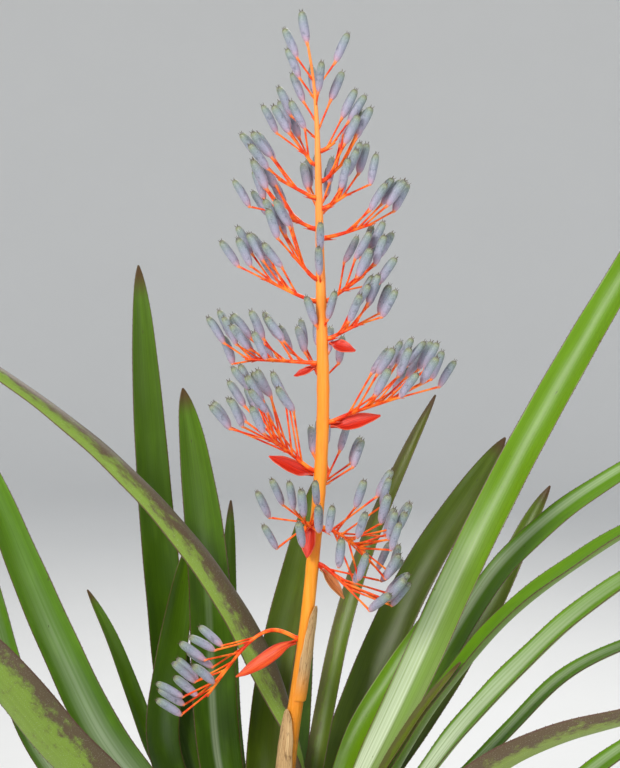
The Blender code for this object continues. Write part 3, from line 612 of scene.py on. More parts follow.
def leafUnderFinish(name, look):
    finish, tree, shader = startFinish(name, Roughness=0.50, Specular_IOR_Level=0.28)
    across, along = sheetPlace(tree)
    stops = [(0.0, tinted(look["under"], 1.15)), (1.0, tinted(look["under"], 0.8))]
    colour = colourRamp(tree, along, stops)
    veins = sheetSpots(tree, 40.0, 1.8, detail=4.0, roughness=0.65)
    darker = between(tree, veins, 0.36, 0.66, 0.0, 0.40)
    colour = mixed(tree, darker, colour, tinted(look["under"], 0.55))
    colour = withBlush(tree, colour, across, look, look["purple"])
    rim = between(tree, rimOf(tree, across), 0.462, 0.492, 0.0, 0.8)
    colour = mixed(tree, rim, colour, look["edge"])
    colour = mixed(tree, between(tree, along, 0.95, 0.992, 0.0, 0.9), colour, look["dryTip"])
    scurf = between(tree, sheetSpots(tree, 60.0, 420.0, detail=2.0), 0.60, 0.72, 0.0, 0.35)
    colour = mixed(tree, scurf, colour, (0.50, 0.52, 0.44))
    paint(tree, shader, colour)
    addBump(tree, shader, veins, 0.30, 0.0004)
    return finish


def leafEdgeFinish():
    finish, tree, shader = startFinish("leafEdge", Roughness=0.5)
    spots = between(tree, objectSpots(tree, 240.0, detail=3.0), 0.35, 0.65)
    paint(tree, shader, mixed(tree, spots, (0.10, 0.07, 0.022), (0.075, 0.025, 0.015)))
    return finish


def ringRadius(ring):
    pitch = leafShape["thickness"] + leafShape["clearance"]
    return leafShape["crownTopRadius"] + leafShape["crownShoulder"] + ring * pitch


crownShape = dict(footRise=0.0015, rings=12, ringDepth=0.0004, sides=64)


def crownSurface(radius):
    # height of the crown's sloping side at a radius
    lastRing = max(plan["ring"] for plan in leafPlan.values())
    slopeWidth = ringRadius(lastRing + 1) - leafShape["crownTopRadius"]
    slope = (crownTop - soilTop - crownShape["footRise"]) / slopeWidth
    return crownTop - slope * max(radius - leafShape["crownTopRadius"], 0.0)


def leafLine(plan):
    shape = leafShape
    bearing = math.radians(plan["bearing"])
    radius = ringRadius(plan["ring"])
    inner = radius * math.cos(math.radians(shape["sheathAngle"]) / shape["coarseCells"])
    foot = bearingVector(bearing) * radius
    foot.z = crownSurface(inner - shape["thickness"]) + gap
    collar = foot + Vector((0.0, 0.0, shape["sheathHeight"]))
    throat = bearingVector(bearing) * (radius * shape["throatFlare"])
    throat.z = foot.z + shape["throatHeight"]
    return [foot, (foot + collar) / 2, collar, throat] + [plantPoint(p) for p in plan["path"]]


def bladeWidth(width, share):
    # a broad sheath, a waist, then a long taper to a point
    shape = leafShape
    narrowed = smoothShare(share / shape["waistEnd"])
    widened = smoothShare((share - shape["waistEnd"]) / shape["waistLength"])
    waist = 1.0 - shape["waistDepth"] * narrowed + shape["waistDepth"] * widened
    tip = max(1.0 - share ** shape["tipPower"], 0.0) ** shape["tipRoundness"]
    return max(width * waist * (1.0 - shape["taper"] * share) * tip, shape["tipWidth"])


def toothCorners(foot, out, ahead):
    half = ahead * toothShape["width"] * 0.5
    lift = out.cross(ahead) * toothShape["width"] * toothShape["thickness"]
    tip = foot + out * toothShape["height"] + ahead * toothShape["height"] * toothShape["hook"]
    return [foot - half - lift * 0.6, foot + half, foot + lift, tip]


def leafTeeth(name, sheet, across, bands):
    # small hooked spines along both edges, pointing out and up the leaf
    shape = toothShape
    verts = sheet.data.vertices
    row = across + 1
    corners, faces = [], []
    for start, inner in ((0, 1), (across, across - 1)):
        edge = [verts[k * row + start].co.copy() for k in range(bands + 1)]
        inside = [verts[k * row + inner].co.copy() for k in range(bands + 1)]
        travelled, wanted = 0.0, shape["firstAt"]
        for k in range(bands - 1):
            step = (edge[k + 1] - edge[k]).length
            out = (edge[k] - inside[k]).normalized()
            ahead = (edge[k + 1] - edge[k]).normalized()
            while travelled + step > wanted:
                spot = edge[k].lerp(edge[k + 1], (wanted - travelled) / step)
                n = len(corners)
                corners += toothCorners(spot - out * shape["sunk"], out, ahead)
                faces += [(n, n + 2, n + 1), (n, n + 1, n + 3), (n + 1, n + 2, n + 3), (n + 2, n, n + 3)]
                swing = (n * shape["spreadStep"]) % 1.0
                wanted += shape["spacing"] * (shape["closest"] + shape["spread"] * swing)
            travelled += step
    mesh = bpy.data.meshes.new(name)
    mesh.from_pydata(corners, [], faces)
    teeth = bpy.data.objects.new(name, mesh)
    bpy.context.collection.objects.link(teeth)
    makeActive(teeth)
    bpy.ops.object.mode_set(mode="EDIT")
    bpy.ops.mesh.select_all(action="SELECT")
    bpy.ops.mesh.normals_make_consistent(inside=False)
    bpy.ops.object.mode_set(mode="OBJECT")
    return teeth


def thickened(piece, thickness):
    # a sheet given its thickness, smoothed
    skin = piece.modifiers.new("skin", "SOLIDIFY")
    skin.thickness = thickness
    skin.offset = 0.0
    subdivided(piece, 1)
    applyModifiers(piece)
    smoothShaded(piece, 60)


def makeLeaf(name, plan, finishes):
    shape = leafShape
    bearing = math.radians(plan["bearing"])
    gutter = math.radians(plan["gutter"])
    width = plan["width"] * mm
    fine, lengths = measuredCurve(leafLine(plan))
    length = lengths[-1]
    bands = round(length / shape["cellLength"])
    stations = [length * k / bands for k in range(bands + 1)]
    side = Vector((math.sin(bearing), -math.cos(bearing), 0.0))
    radius = ringRadius(plan["ring"])
    sheathAngle = min(width / 2 / radius, math.radians(shape["sheathAngle"]))
    sheathWidth = 2 * sheathAngle * radius
    widths, halfAngles, turns = [], [], []
    for station in stations:
        share = station / length
        freed = smoothShare((station - shape["sheathHeight"]) / (3 * shape["sheathHeight"]))
        widths.append(sheathWidth + (bladeWidth(width, share) - sheathWidth) * freed)
        halfAngles.append(sheathAngle + (gutter - sheathAngle) * freed)
        turned = plan["turn"] + (plan["endTurn"] - plan["turn"]) * smoothShare(share)
        begun = smoothShare((station - shape["turnStart"]) / shape["turnLength"])
        turns.append(math.radians(turned) * begun)
    line = pointsAlong(fine, lengths, stations)
    across = shape["cellsAcross"]
    leaf = bentSheet(name, across, line, side, widths, halfAngles, turns, shape["ripple"])
    teeth = leafTeeth(name + "_teeth", leaf, across, bands)
    addFinishes(leaf, finishes)
    addFinishes(teeth, finishes)
    for face in teeth.data.polygons:
        face.material_index = 2
    blade = leaf.modifiers.new("blade", "SOLIDIFY")
    blade.thickness = shape["thickness"]
    blade.offset = 0.0
    blade.material_offset = 1
    blade.material_offset_rim = 2
    subdivided(leaf, 1)
    applyModifiers(leaf)
    leaf = joinPieces(name, [leaf, teeth])
    smoothShaded(leaf, 50)
    settle(leaf, name)


def makeLeaves():
    edge = leafEdgeFinish()
    finishes = {}
    for look, ownSettings in leafLooks.items():
        settings = {**commonLook, **ownSettings}
        upper = leafUpperFinish(look + "LeafUpper", settings)
        under = leafUnderFinish(look + "LeafUnder", settings)
        finishes[look] = [upper, under, edge]
    for name, plan in leafPlan.items():
        makeLeaf(name, plan, finishes[plan["look"]])
    print("leaves made:", len(leafPlan))


stalkShape = dict(
    radius=0.0076, bands=26, coarseSides=8, roundness=6, fineBands=170,
    jointSwelling=0.06, jointReach=0.0045, jointDrop=0.002, mostSwelling=1.5,
)

# millimetres from the middle of the soil's top, and the share of the full radius
stalkPath = [
    ((4, 0, 110), 1.00),
    ((9, 0, 206), 0.96),
    ((19, 0, 259), 0.84),
    ((26, 0, 315), 0.76),
    ((33, 0, 383), 0.72),
    ((40, 0, 461), 0.72),
    ((42, 0, 524), 0.70),
    ((40, 0, 576), 0.63),
    ((38, 0, 661), 0.44),
    ((37, 0, 713), 0.37),
    ((36, 0, 750), 0.27),
    ((35, 0, 772), 0.20),
    ((33, 0, 793), 0.16),
    ((30, 0, 808), 0.15),
    ((28, 0, 818), 0.14),
]

flowerShape = dict(
    budLength=0.026, budRadius=0.0038, pedicelRadius=0.0009, branchRadius=0.0019,
    branchBands=5, fineBands=40, loneLean=24, leanSwing=8, goldenAngle=137.5,
    pedicelLift=0.22, pedicelLowest=-0.45, pedicelLean=0.6, outwardLean=0.4,
    elbowRoom=0.0006, tries=24, tryTurn=31, closing=0.4, tightening=0.12,
    shortening=0.3, lengthening=0.09, lastFlower=0.975, branchTaper=0.45,
    pedicelProfile=(1.25, 1.0, 0.95, 1.0, 1.12), topFlowerSunk=0.002, topPedicel=0.003,
    topRise=80, footScaleSize=(2.3, 2.3, 1.7), footScaleDrop=0.9, footScaleDip=0.25,
)
budShape = dict(
    sides=8,
    # share of the length, share of the radius
    profile=[
        (0.0, 0.38), (0.06, 0.62), (0.17, 0.86), (0.36, 0.98), (0.60, 1.0),
        (0.80, 0.93), (0.92, 0.76), (0.98, 0.52), (1.0, 0.25),
    ],
    neckLength=0.0035, neckFoot=1.15, neckTop=1.5, neckTopAt=0.3, sinkShare=0.6,
    bows=(0.03, 0.12), thicknesses=(0.92, 1.08),
    whiskers=3, whiskerLength=0.0030, whiskerRadius=0.00050, whiskerTip=0.00008,
    whiskerLean=24, whiskerTurn=0.4, whiskerOut=0.20, whiskerUp=0.965,
)
scaleShape = dict(
    sides=5, radius=0.0013, tipRadius=0.0001, length=0.0062, flatness=0.42, out=0.0012, dip=0.30,
)

# in millimetres and degrees; bare is how much of the branch has no flowers, in hundredths
branchPlan = {
    "branch_front": dict(height=410, bearing=328, rise=-10, length=42, droop=16,
        bare=16, flowers=18, pedicel=50, spread=60, lean=22),
    "branch_front_left": dict(height=414, bearing=240, rise=-6, length=12, droop=6,
        bare=30, flowers=8, pedicel=36, spread=60, lean=26),
    "branch_left_arched": dict(height=312, bearing=186, rise=30, length=106, droop=84,
        bare=34, flowers=11, pedicel=36, spread=30, lean=52),
    "branch_right_drooping": dict(height=378, bearing=-20, rise=-30, length=34, droop=12,
        bare=20, flowers=7, pedicel=44, spread=26, lean=44),
    "branch_left_great": dict(height=458, bearing=184, rise=38, length=44, droop=0,
        bare=20, flowers=17, pedicel=56, spread=52, lean=32),
    "branch_right_great": dict(height=500, bearing=-4, rise=26, length=62, droop=8,
        bare=20, flowers=15, pedicel=44, spread=44, lean=30),
    "branch_left_level": dict(height=550, bearing=172, rise=4, length=60, droop=2,
        bare=12, flowers=15, pedicel=28, spread=54, lean=30),
    "branch_right_bracted": dict(height=571, bearing=-12, rise=26, length=28, droop=0,
        bare=20, flowers=8, pedicel=28, spread=50, lean=28),
    "branch_right_wide": dict(height=603, bearing=8, rise=34, length=36, droop=0,
        bare=20, flowers=9, pedicel=32, spread=52, lean=26),
    "branch_left_wide": dict(height=603, bearing=186, rise=18, length=46, droop=-8,
        bare=20, flowers=8, pedicel=32, spread=42, lean=34),
    "branch_left_inner": dict(height=622, bearing=206, rise=44, length=26, droop=0,
        bare=30, flowers=5, pedicel=34, spread=30, lean=26),
    "branch_right_slim": dict(height=656, bearing=0, rise=12, length=40, droop=-6,
        bare=40, flowers=5, pedicel=28, spread=34, lean=32),
    "branch_left_upper": dict(height=664, bearing=172, rise=24, length=34, droop=0,
        bare=20, flowers=8, pedicel=34, spread=44, lean=30),
    "branch_right_middle": dict(height=681, bearing=-14, rise=30, length=22, droop=0,
        bare=20, flowers=6, pedicel=28, spread=52, lean=20),
    "branch_left_high": dict(height=690, bearing=198, rise=26, length=34, droop=0,
        bare=40, flowers=4, pedicel=28, spread=30, lean=34),
    "branch_right_high": dict(height=704, bearing=8, rise=42, length=24, droop=0,
        bare=20, flowers=5, pedicel=30, spread=40, lean=26),
    "branch_left_top": dict(height=718, bearing=176, rise=54, length=14, droop=0,
        bare=20, flowers=5, pedicel=30, spread=44, lean=24),
    "branch_right_top": dict(height=729, bearing=-4, rise=34, length=12, droop=0,
        bare=20, flowers=2, pedicel=24, spread=26, lean=26),
    "branch_back_high": dict(height=672, bearing=88, rise=30, length=22, droop=0,
        bare=20, flowers=6, pedicel=28, spread=44, lean=26),
    "branch_back_middle": dict(height=530, bearing=98, rise=24, length=34, droop=0,
        bare=20, flowers=7, pedicel=30, spread=44, lean=28),
    "branch_back_low": dict(height=440, bearing=74, rise=26, length=32, droop=0,
        bare=20, flowers=7, pedicel=32, spread=50, lean=28),
}

# height, bearing, rise and pedicel of the flowers on the stalk itself
loneFlowers = [
    (574, 222, 50, 12),
    (577, 304, 50, 14),
    (616, 264, 40, 14),
    (636, 270, 40, 14),
    (738, 184, 42, 30),
    (744, 20, 66, 30),
    (752, 158, 56, 22),
    (758, 104, 70, 20),
    (766, 285, 56, 14),
    (771, 182, 54, 23),
    (778, 0, 55, 30),
    (786, 184, 54, 25),
]


def stalkRings():
    # middle point and radius of the stalk, ring by ring from its foot to its top
    foot = Vector((0.0, 0.0, crownTop + gap))
    points = [foot, foot + Vector((0.0, 0.0, stalkShape["radius"] * 3))]
    points += [plantPoint(point) for point, _ in stalkPath]
    rings = []
    for point in evenLine(points, stalkShape["bands"]):
        rings.append((point, stalkShape["radius"] * stalkShare((point.z - soilTop) / mm)))
    return rings


def stalkShare(height):
    share = stalkPath[0][1]
    for (low, lowShare), (high, highShare) in zip(stalkPath, stalkPath[1:]):
        if low[2] < height:
            mix = min((height - low[2]) / (high[2] - low[2]), 1.0)
            share = lowShare + (highShare - lowShare) * mix
    return share


def stalkAt(rings, height):
    for low, high in zip(rings, rings[1:]):
        if height <= high[0].z:
            break
    mix = (height - low[0].z) / (high[0].z - low[0].z)
    point = low[0].lerp(high[0], mix)
    return point, (high[0] - low[0]).normalized(), low[1] + (high[1] - low[1]) * mix


def flowerLine(start, leave, pedicel, budDirection):
    neck = start + leave * pedicel
    length = flowerShape["budLength"]
    return [start, neck, neck + budDirection * length]


def segmentDistance(a, b, c, d):
    # shortest way between the lines a to b and c to d
    u, v, w = b - a, d - c, a - c
    uu, vv, uv = max(u.dot(u), 1e-12), max(v.dot(v), 1e-12), u.dot(v)
    best = 1.0
    for s in (0.0, 1.0):
        t = min(max(((a + u * s) - c).dot(v) / vv, 0.0), 1.0)
        best = min(best, (w + u * s - v * t).length)
    for t in (0.0, 1.0):
        s = min(max(((c + v * t) - a).dot(u) / uu, 0.0), 1.0)
        best = min(best, (w + u * s - v * t).length)
    spread = uu * vv - uv * uv
    if spread > 1e-14:
        s = (uv * w.dot(v) - vv * w.dot(u)) / spread
        t = (uu * w.dot(v) - uv * w.dot(u)) / spread
        if 0.0 < s < 1.0 and 0.0 < t < 1.0:
            best = min(best, (w + u * s - v * t).length)
    return best


def roomFor(parts, taken):
    # the least gap between new parts and what is already there
    least = 1.0
    for a, b, radius in parts:
        for c, d, other in taken:
            least = min(least, segmentDistance(a, b, c, d) - radius - other)
    return least


def flowerParts(line):
    lift = (line[1] - line[0]) * 0.25
    return [
        (line[0] + lift, line[1], flowerShape["pedicelRadius"] * 1.4),
        (line[1], line[2], flowerShape["budRadius"] * 1.02),
    ]


def placeFlower(start, axis, outward, share, turn, plan, taken):
    # the first way for a flower to leave its branch that has room
    shape = flowerShape
    side = axis.cross(Vector((0.0, 0.0, 1.0)))
    side = side.normalized() if side.length > 0.2 else Vector((1.0, 0.0, 0.0))
    other = side.cross(axis)
    tilt = math.radians(plan["lean"]) + math.radians(shape["leanSwing"]) * math.sin(turn * 3.0)
    best = None
    for attempt in range(shape["tries"]):
        phase = turn + attempt * math.radians(shape["tryTurn"])
        openAngle = math.radians(plan["spread"]) * (1.0 - shape["closing"] * share)
        openAngle *= 1.0 - shape["tightening"] * (attempt % 3)
        radial = side * math.cos(phase) + other * math.sin(phase)
        leave = axis * math.cos(openAngle) + radial * math.sin(openAngle)
        leave.z = max(leave.z + shape["pedicelLift"], shape["pedicelLowest"])
        leave.normalize()
        reach = plan["pedicel"] * mm * (1.0 - shape["shortening"] * share)
        reach *= 1.0 + shape["lengthening"] * (attempt % 4)
        lean = Vector((leave.x, leave.y, 0.0)) * shape["pedicelLean"] + outward * shape["outwardLean"]
        lean = lean.normalized() if lean.length > 0.05 else outward
        budDirection = lean * math.sin(tilt) + Vector((0.0, 0.0, math.cos(tilt)))
        line = flowerLine(start, leave, reach, budDirection)
        room = roomFor(flowerParts(line), taken)
        if best is None or room > best[0]:
            best = (room, line)
        if room > shape["elbowRoom"]:
            break
    return best[1]


def branchLine(rings, plan):
    point, direction, radius = stalkAt(rings, soilTop + plan["height"] * mm)
    bearing = math.radians(plan["bearing"])
    outward = bearingVector(bearing)
    outward = (outward - direction * outward.dot(direction)).normalized()
    start = point + outward * (radius + gap)
    line = [start, start + outward * flowerShape["branchRadius"]]
    bands = flowerShape["branchBands"]
    for k in range(1, bands + 1):
        ahead = (bands - k) / (bands - 1)
        bend = math.radians(plan["rise"] - plan["droop"] * (1.0 - ahead ** 4))
        line.append(line[-1] + bearingVector(bearing, bend) * (plan["length"] * mm / bands))
    return line


bractShape = dict(
    thickness=0.0008, drop=0.0034, cellsAcross=10, bands=22, openAngle=62, closeAngle=30,
    roomShare=0.42, footOut=0.12, footDown=0.10, middle=0.45, end=0.40, endDown=0.75,
    endAhead=0.35, footShare=0.12, fullness=0.8, leastWidth=0.0016, rollRate=3.0, ripple=0.0006,
)

# in millimetres and degrees; hang is how far the bract turns down from its branch
bractPlan = {
    "bract_front": dict(branch="branch_front_left", length=28, width=16, hang=74, roll=0),
    "bract_left_folded": dict(branch="branch_left_arched", length=56, width=16, hang=38, roll=46,
        look="folded"),
    "bract_withered": dict(branch="branch_right_drooping", length=30, width=11, hang=20, roll=-40,
        look="withered"),
    "bract_left_great": dict(branch="branch_left_great", length=38, width=17, hang=12, roll=46),
    "bract_right_great": dict(branch="branch_right_great", length=40, width=17, hang=8, roll=-52),
    "bract_right_middle": dict(branch="branch_right_bracted", length=22, width=15, hang=46, roll=-42),
    "bract_left_middle": dict(branch="branch_left_level", length=18, width=10, hang=26, roll=40),
}


def bractLine(line, plan):
    shape = bractShape
    length, hang = plan["length"] * mm, math.radians(plan["hang"])
    outward = (line[1] - line[0]).normalized()
    heading = (line[3] - line[1]).normalized()
    side = outward.cross(Vector((0.0, 0.0, 1.0))).normalized()
    below = side.cross(heading).normalized()
    if below.z > 0:
        below = -below
    drop = flowerShape["branchRadius"] + shape["drop"]
    foot = line[0] - Vector((0.0, 0.0, drop)) + outward * shape["thickness"]
    out = heading * math.cos(hang) + below * math.sin(hang)
    shoulder = foot + outward * (length * shape["footOut"]) + out * (length * shape["footDown"])
    middle = shoulder + out * (length * shape["middle"])
    turned = out * shape["endDown"] + heading * shape["endAhead"]
    points = [foot, shoulder, middle, middle + turned * (length * shape["end"])]
    return points, side


def stalkFinish():
    finish, tree, shader = startFinish("stalkSkin", Roughness=0.40, Specular_IOR_Level=0.30)
    height = objectHeight(tree)
    share = between(tree, height, soilTop + 0.10, soilTop + 0.80)
    stops = [
        (0.0, (0.50, 0.15, 0.010)), (1.0, (0.93, 0.30, 0.07)), (0.12, (0.74, 0.24, 0.012)),
        (0.35, (0.90, 0.29, 0.014)), (0.70, (0.95, 0.27, 0.024)),
    ]
    colour = colourRamp(tree, share, stops)
    streaks = objectSpots(tree, 1.0, stretch=(420, 420, 16), detail=4.0)
    colour = mixed(tree, between(tree, streaks, 0.40, 0.72, 0.0, 0.35), colour, (0.97, 0.45, 0.08))
    blush = objectSpots(tree, 1.0, stretch=(60, 60, 22), detail=3.0, offset=(3, 1, 2))
    colour = mixed(tree, between(tree, blush, 0.50, 0.72, 0.0, 0.55), colour, (0.80, 0.14, 0.015))
    # brown scurf on the foot of the stalk
    low = between(tree, height, soilTop + 0.10, soilTop + 0.30, 1.0, 0.0)
    scurf = objectSpots(tree, 1.0, stretch=(500, 500, 150), detail=4.0, roughness=0.7, offset=(1, 5, 0))
    scurf = maths(tree, "MULTIPLY", between(tree, scurf, 0.48, 0.60, 0.0, 0.8), low)
    colour = mixed(tree, scurf, colour, (0.16, 0.07, 0.02))
    paint(tree, shader, colour)
    addBump(tree, shader, streaks, 0.35, 0.0005)
    return finish


def branchFinish():
    finish, tree, shader = startFinish("branchSkin", Roughness=0.40, Specular_IOR_Level=0.26)
    spots = objectSpots(tree, 95.0, detail=3.0)
    stops = [(0.0, (0.68, 0.018, 0.003)), (1.0, (0.97, 0.24, 0.022)), (0.5, (0.92, 0.095, 0.006))]
    colour = colourRamp(tree, between(tree, spots, 0.32, 0.68), stops)
    fine = objectSpots(tree, 900.0, detail=2.0)
    colour = mixed(tree, between(tree, fine, 0.5, 0.75, 0.0, 0.30), colour, (0.97, 0.30, 0.06))
    paint(tree, shader, colour)
    addBump(tree, shader, fine, 0.25, 0.0003)
    return finish


def budFinish():
    # grey-green wax over lavender, pinker at the foot, on an orange neck
    finish, tree, shader = startFinish(
        "budSkin", Roughness=0.50, Specular_IOR_Level=0.35, Sheen_Weight=0.15, Sheen_Roughness=0.5
    )
    along = addNode(tree, "Attribute", attribute_name="budAlong").outputs["Fac"]
    spots = objectSpots(tree, 260.0, detail=4.0, roughness=0.6)
    warped = maths(tree, "ADD", along, swung(tree, spots, 0.10))
    stops = [
        (0.0, (0.93, 0.17, 0.025)), (1.0, (0.10, 0.085, 0.045)), (0.105, (0.92, 0.25, 0.07)),
        (0.160, (0.50, 0.29, 0.38)), (0.32, (0.33, 0.29, 0.40)), (0.62, (0.235, 0.26, 0.33)),
        (0.84, (0.20, 0.255, 0.235)), (0.94, (0.21, 0.235, 0.12)),
    ]
    colour = colourRamp(tree, warped, stops)
    dust = objectSpots(tree, 1400.0, detail=3.0, roughness=0.7)
    skin = between(tree, along, 0.14, 0.20)
    pale = maths(tree, "MULTIPLY", between(tree, dust, 0.48, 0.68, 0.0, 0.50), skin)
    colour = mixed(tree, pale, colour, (0.46, 0.49, 0.56))
    dark = maths(tree, "MULTIPLY", between(tree, spots, 0.54, 0.68, 0.0, 0.55), skin)
    colour = mixed(tree, dark, colour, (0.085, 0.095, 0.12))
    paint(tree, shader, colour)
    addBump(tree, shader, dust, 0.35, 0.0003)
    return finish


def budTipFinish():
    finish, tree, shader = startFinish("budTip", Roughness=0.6)
    spots = between(tree, objectSpots(tree, 700.0, detail=2.0), 0.3, 0.7)
    paint(tree, shader, mixed(tree, spots, (0.035, 0.022, 0.015), (0.15, 0.10, 0.045)))
    return finish


def bractFinish(name, deep, bright, edge):
    finish, tree, shader = startFinish(name, Roughness=0.42, Specular_IOR_Level=0.35)
    across, _ = sheetPlace(tree)
    veins = sheetSpots(tree, 22.0, 1.6, detail=4.0, roughness=0.6)
    colour = mixed(tree, between(tree, veins, 0.32, 0.68), deep, bright)
    rim = between(tree, rimOf(tree, across), 0.36, 0.50, 0.0, 0.7)
    colour = mixed(tree, rim, colour, edge)
    paint(tree, shader, colour)
    addBump(tree, shader, veins, 0.5, 0.0006)
    return finish


def sheathFinish():
    finish, tree, shader = startFinish("drySheathSkin", Roughness=0.72, Specular_IOR_Level=0.25)
    _, along = sheetPlace(tree)
    fibres = sheetSpots(tree, 46.0, 2.2, detail=5.0, roughness=0.65)
    colour = mixed(tree, between(tree, fibres, 0.30, 0.70), (0.30, 0.14, 0.045), (0.72, 0.50, 0.26))
    blots = sheetSpots(tree, 5.0, 7.0, detail=5.0, roughness=0.7, offset=6.0)
    colour = mixed(tree, between(tree, blots, 0.52, 0.68, 0.0, 0.75), colour, (0.14, 0.065, 0.022))
    colour = mixed(tree, between(tree, along, 0.0, 0.40, 0.92, 0.0), colour, (0.80, 0.26, 0.015))
    paint(tree, shader, colour)
    addBump(tree, shader, fibres, 0.6, 0.0006)
    return finish


def makeWhisker(turn, radius, length):
    # one dark sepal point near the top of a bud, leaning out
    shape = budShape
    deselectAll()
    bpy.ops.mesh.primitive_cone_add(
        vertices=3, radius1=shape["whiskerRadius"], radius2=shape["whiskerTip"],
        depth=shape["whiskerLength"], location=(0, 0, 0),
    )
    whisker = bpy.context.object
    whisker.data.transform(Matrix.Translation((0, 0, shape["whiskerLength"] * 0.5)))
    lean = Matrix.Rotation(math.radians(shape["whiskerLean"]), 4, "Y")
    out = Matrix.Translation((radius * shape["whiskerOut"], 0, length * shape["whiskerUp"]))
    whisker.data.transform(Matrix.Rotation(turn, 4, "Z") @ out @ lean)
    return whisker


def makeBudTemplate(skin, tip):
    # one bud standing on the origin: its neck below, its sepal points on top
    length, radius = flowerShape["budLength"], flowerShape["budRadius"]
    stem, neck = flowerShape["pedicelRadius"], budShape["neckLength"]
    profile = [(stem * budShape["neckFoot"], -neck)]
    profile.append((stem * budShape["neckTop"], -neck * budShape["neckTopAt"]))
    profile += [(radius * wide, length * place) for place, wide in budShape["profile"]]
    bud = turnedBody("budTemplate", budShape["sides"], profile)
    addFinishes(bud, [skin, tip])
    parts = [bud]
    for k in range(budShape["whiskers"]):
        turn = math.tau * k / budShape["whiskers"] + budShape["whiskerTurn"]
        whisker = makeWhisker(turn, radius, length)
        addFinishes(whisker, [skin, tip])
        for face in whisker.data.polygons:
            face.material_index = 1
        parts.append(whisker)
    bud = joinPieces("budTemplate", parts)
    along = bud.data.attributes.new("budAlong", "FLOAT", "POINT")
    for vert, entry in zip(bud.data.vertices, along.data):
        entry.value = min(max((vert.co.z + neck) / (length + neck), 0.0), 1.0)
    smoothShaded(bud, 60)
    return bud


def makeScaleTemplate(finish):
    # the small pointed scale at the foot of each pedicel
    shape = scaleShape
    deselectAll()
    bpy.ops.mesh.primitive_cone_add(
        vertices=shape["sides"], radius1=shape["radius"], radius2=shape["tipRadius"],
        depth=shape["length"], location=(0, 0, 0),
    )
    scale = bpy.context.object
    bpy.ops.object.mode_set(mode="EDIT")
    bpy.ops.mesh.select_all(action="SELECT")
    bpy.ops.transform.resize(value=(1.0, shape["flatness"], 1.0), center_override=(0, 0, 0))
    bpy.ops.object.mode_set(mode="OBJECT")
    scale.data.transform(Matrix.Translation((0, 0, shape["length"] / 2)))
    addFinishes(scale, [finish])
    return scale


def turnedTo(direction, roll=0.0):
    return direction.to_track_quat("Z", "Y").to_matrix().to_4x4() @ Matrix.Rotation(roll, 4, "Z")


def placedCopy(template, place):
    copy = template.copy()
    copy.data = template.data.copy()
    copy.data.transform(place)
    bpy.context.collection.objects.link(copy)
    return copy


def bentBud(template, line, roll, bow, thickness):
    # a copy of the bud, a little curved towards the side its pedicel comes from
    direction = (line[2] - line[1]).normalized()
    coming = (line[1] - line[0]).normalized()
    away = coming - direction * coming.dot(direction)
    away = away.normalized() if away.length > 0.05 else Vector((1.0, 0.0, 0.0))
    sized = Matrix.Diagonal((thickness, thickness, 1.0, 1.0))
    copy = placedCopy(template, Matrix.Rotation(roll, 4, "Z") @ sized)
    length = flowerShape["budLength"]
    neck = budShape["neckLength"]
    turn = turnedTo(direction)
    start = line[1]
    for vert in copy.data.vertices:
        along = vert.co.z / length
        sag = bow * length * (along * along - along) if along > 0 else 0.0
        vert.co = turn @ vert.co + start + away * sag
        if along < 0:
            # the neck bends back into the pedicel
            vert.co += (direction - coming) * (-along * length) * min(-along * length / neck, 1.0)
    return copy


def pedicelStrand(line):
    start, neck = line[0], line[1]
    sunk = budShape["neckLength"] * budShape["sinkShare"]
    end = neck - (neck - start).normalized() * sunk
    profile = flowerShape["pedicelProfile"]
    points = [start.lerp(end, k / (len(profile) - 1)) for k in range(len(profile))]
    return points, [flowerShape["pedicelRadius"] * share for share in profile]


def flowersOnStems(lines, bud, scale, randomiser):
    parts = []
    for line in lines:
        roll, bow = randomiser.uniform(0, math.tau), randomiser.uniform(*budShape["bows"])
        parts.append(bentBud(bud, line, roll, bow, randomiser.uniform(*budShape["thicknesses"])))
        leave = (line[1] - line[0]).normalized()
        foot = line[0] + leave * scaleShape["out"]
        tilt = (leave + Vector((0, 0, -scaleShape["dip"]))).normalized()
        place = Matrix.Translation(foot) @ turnedTo(tilt, randomiser.uniform(0, math.tau))
        parts.append(placedCopy(scale, place))
    return parts


def branchLines(rings):
    # every branch's line, and the room that the branches and the stalk take up
    lines, taken = {}, []
    for name, plan in branchPlan.items():
        lines[name] = branchLine(rings, plan)
        for a, b in zip(lines[name], lines[name][1:]):
            taken.append((a, b, flowerShape["branchRadius"]))
    for (low, radius), (high, _) in zip(rings, rings[1:]):
        taken.append((low, high, radius))
    return lines, taken


def loneFlowerLines(rings):
    lines = []
    lean = math.pi / 2 - math.radians(flowerShape["loneLean"])
    for height, bearing, rise, pedicel in loneFlowers:
        start = stalkAt(rings, soilTop + height * mm)[0]
        leave = bearingVector(math.radians(bearing), math.radians(rise))
        budDirection = bearingVector(math.radians(bearing), lean)
        lines.append(flowerLine(start, leave, pedicel * mm, budDirection))
    tipDirection = bearingVector(math.pi, math.radians(flowerShape["topRise"]))
    start = rings[-1][0] - Vector((0.0, 0.0, flowerShape["topFlowerSunk"]))
    lines.append(flowerLine(start, tipDirection, flowerShape["topPedicel"], tipDirection))
    return lines


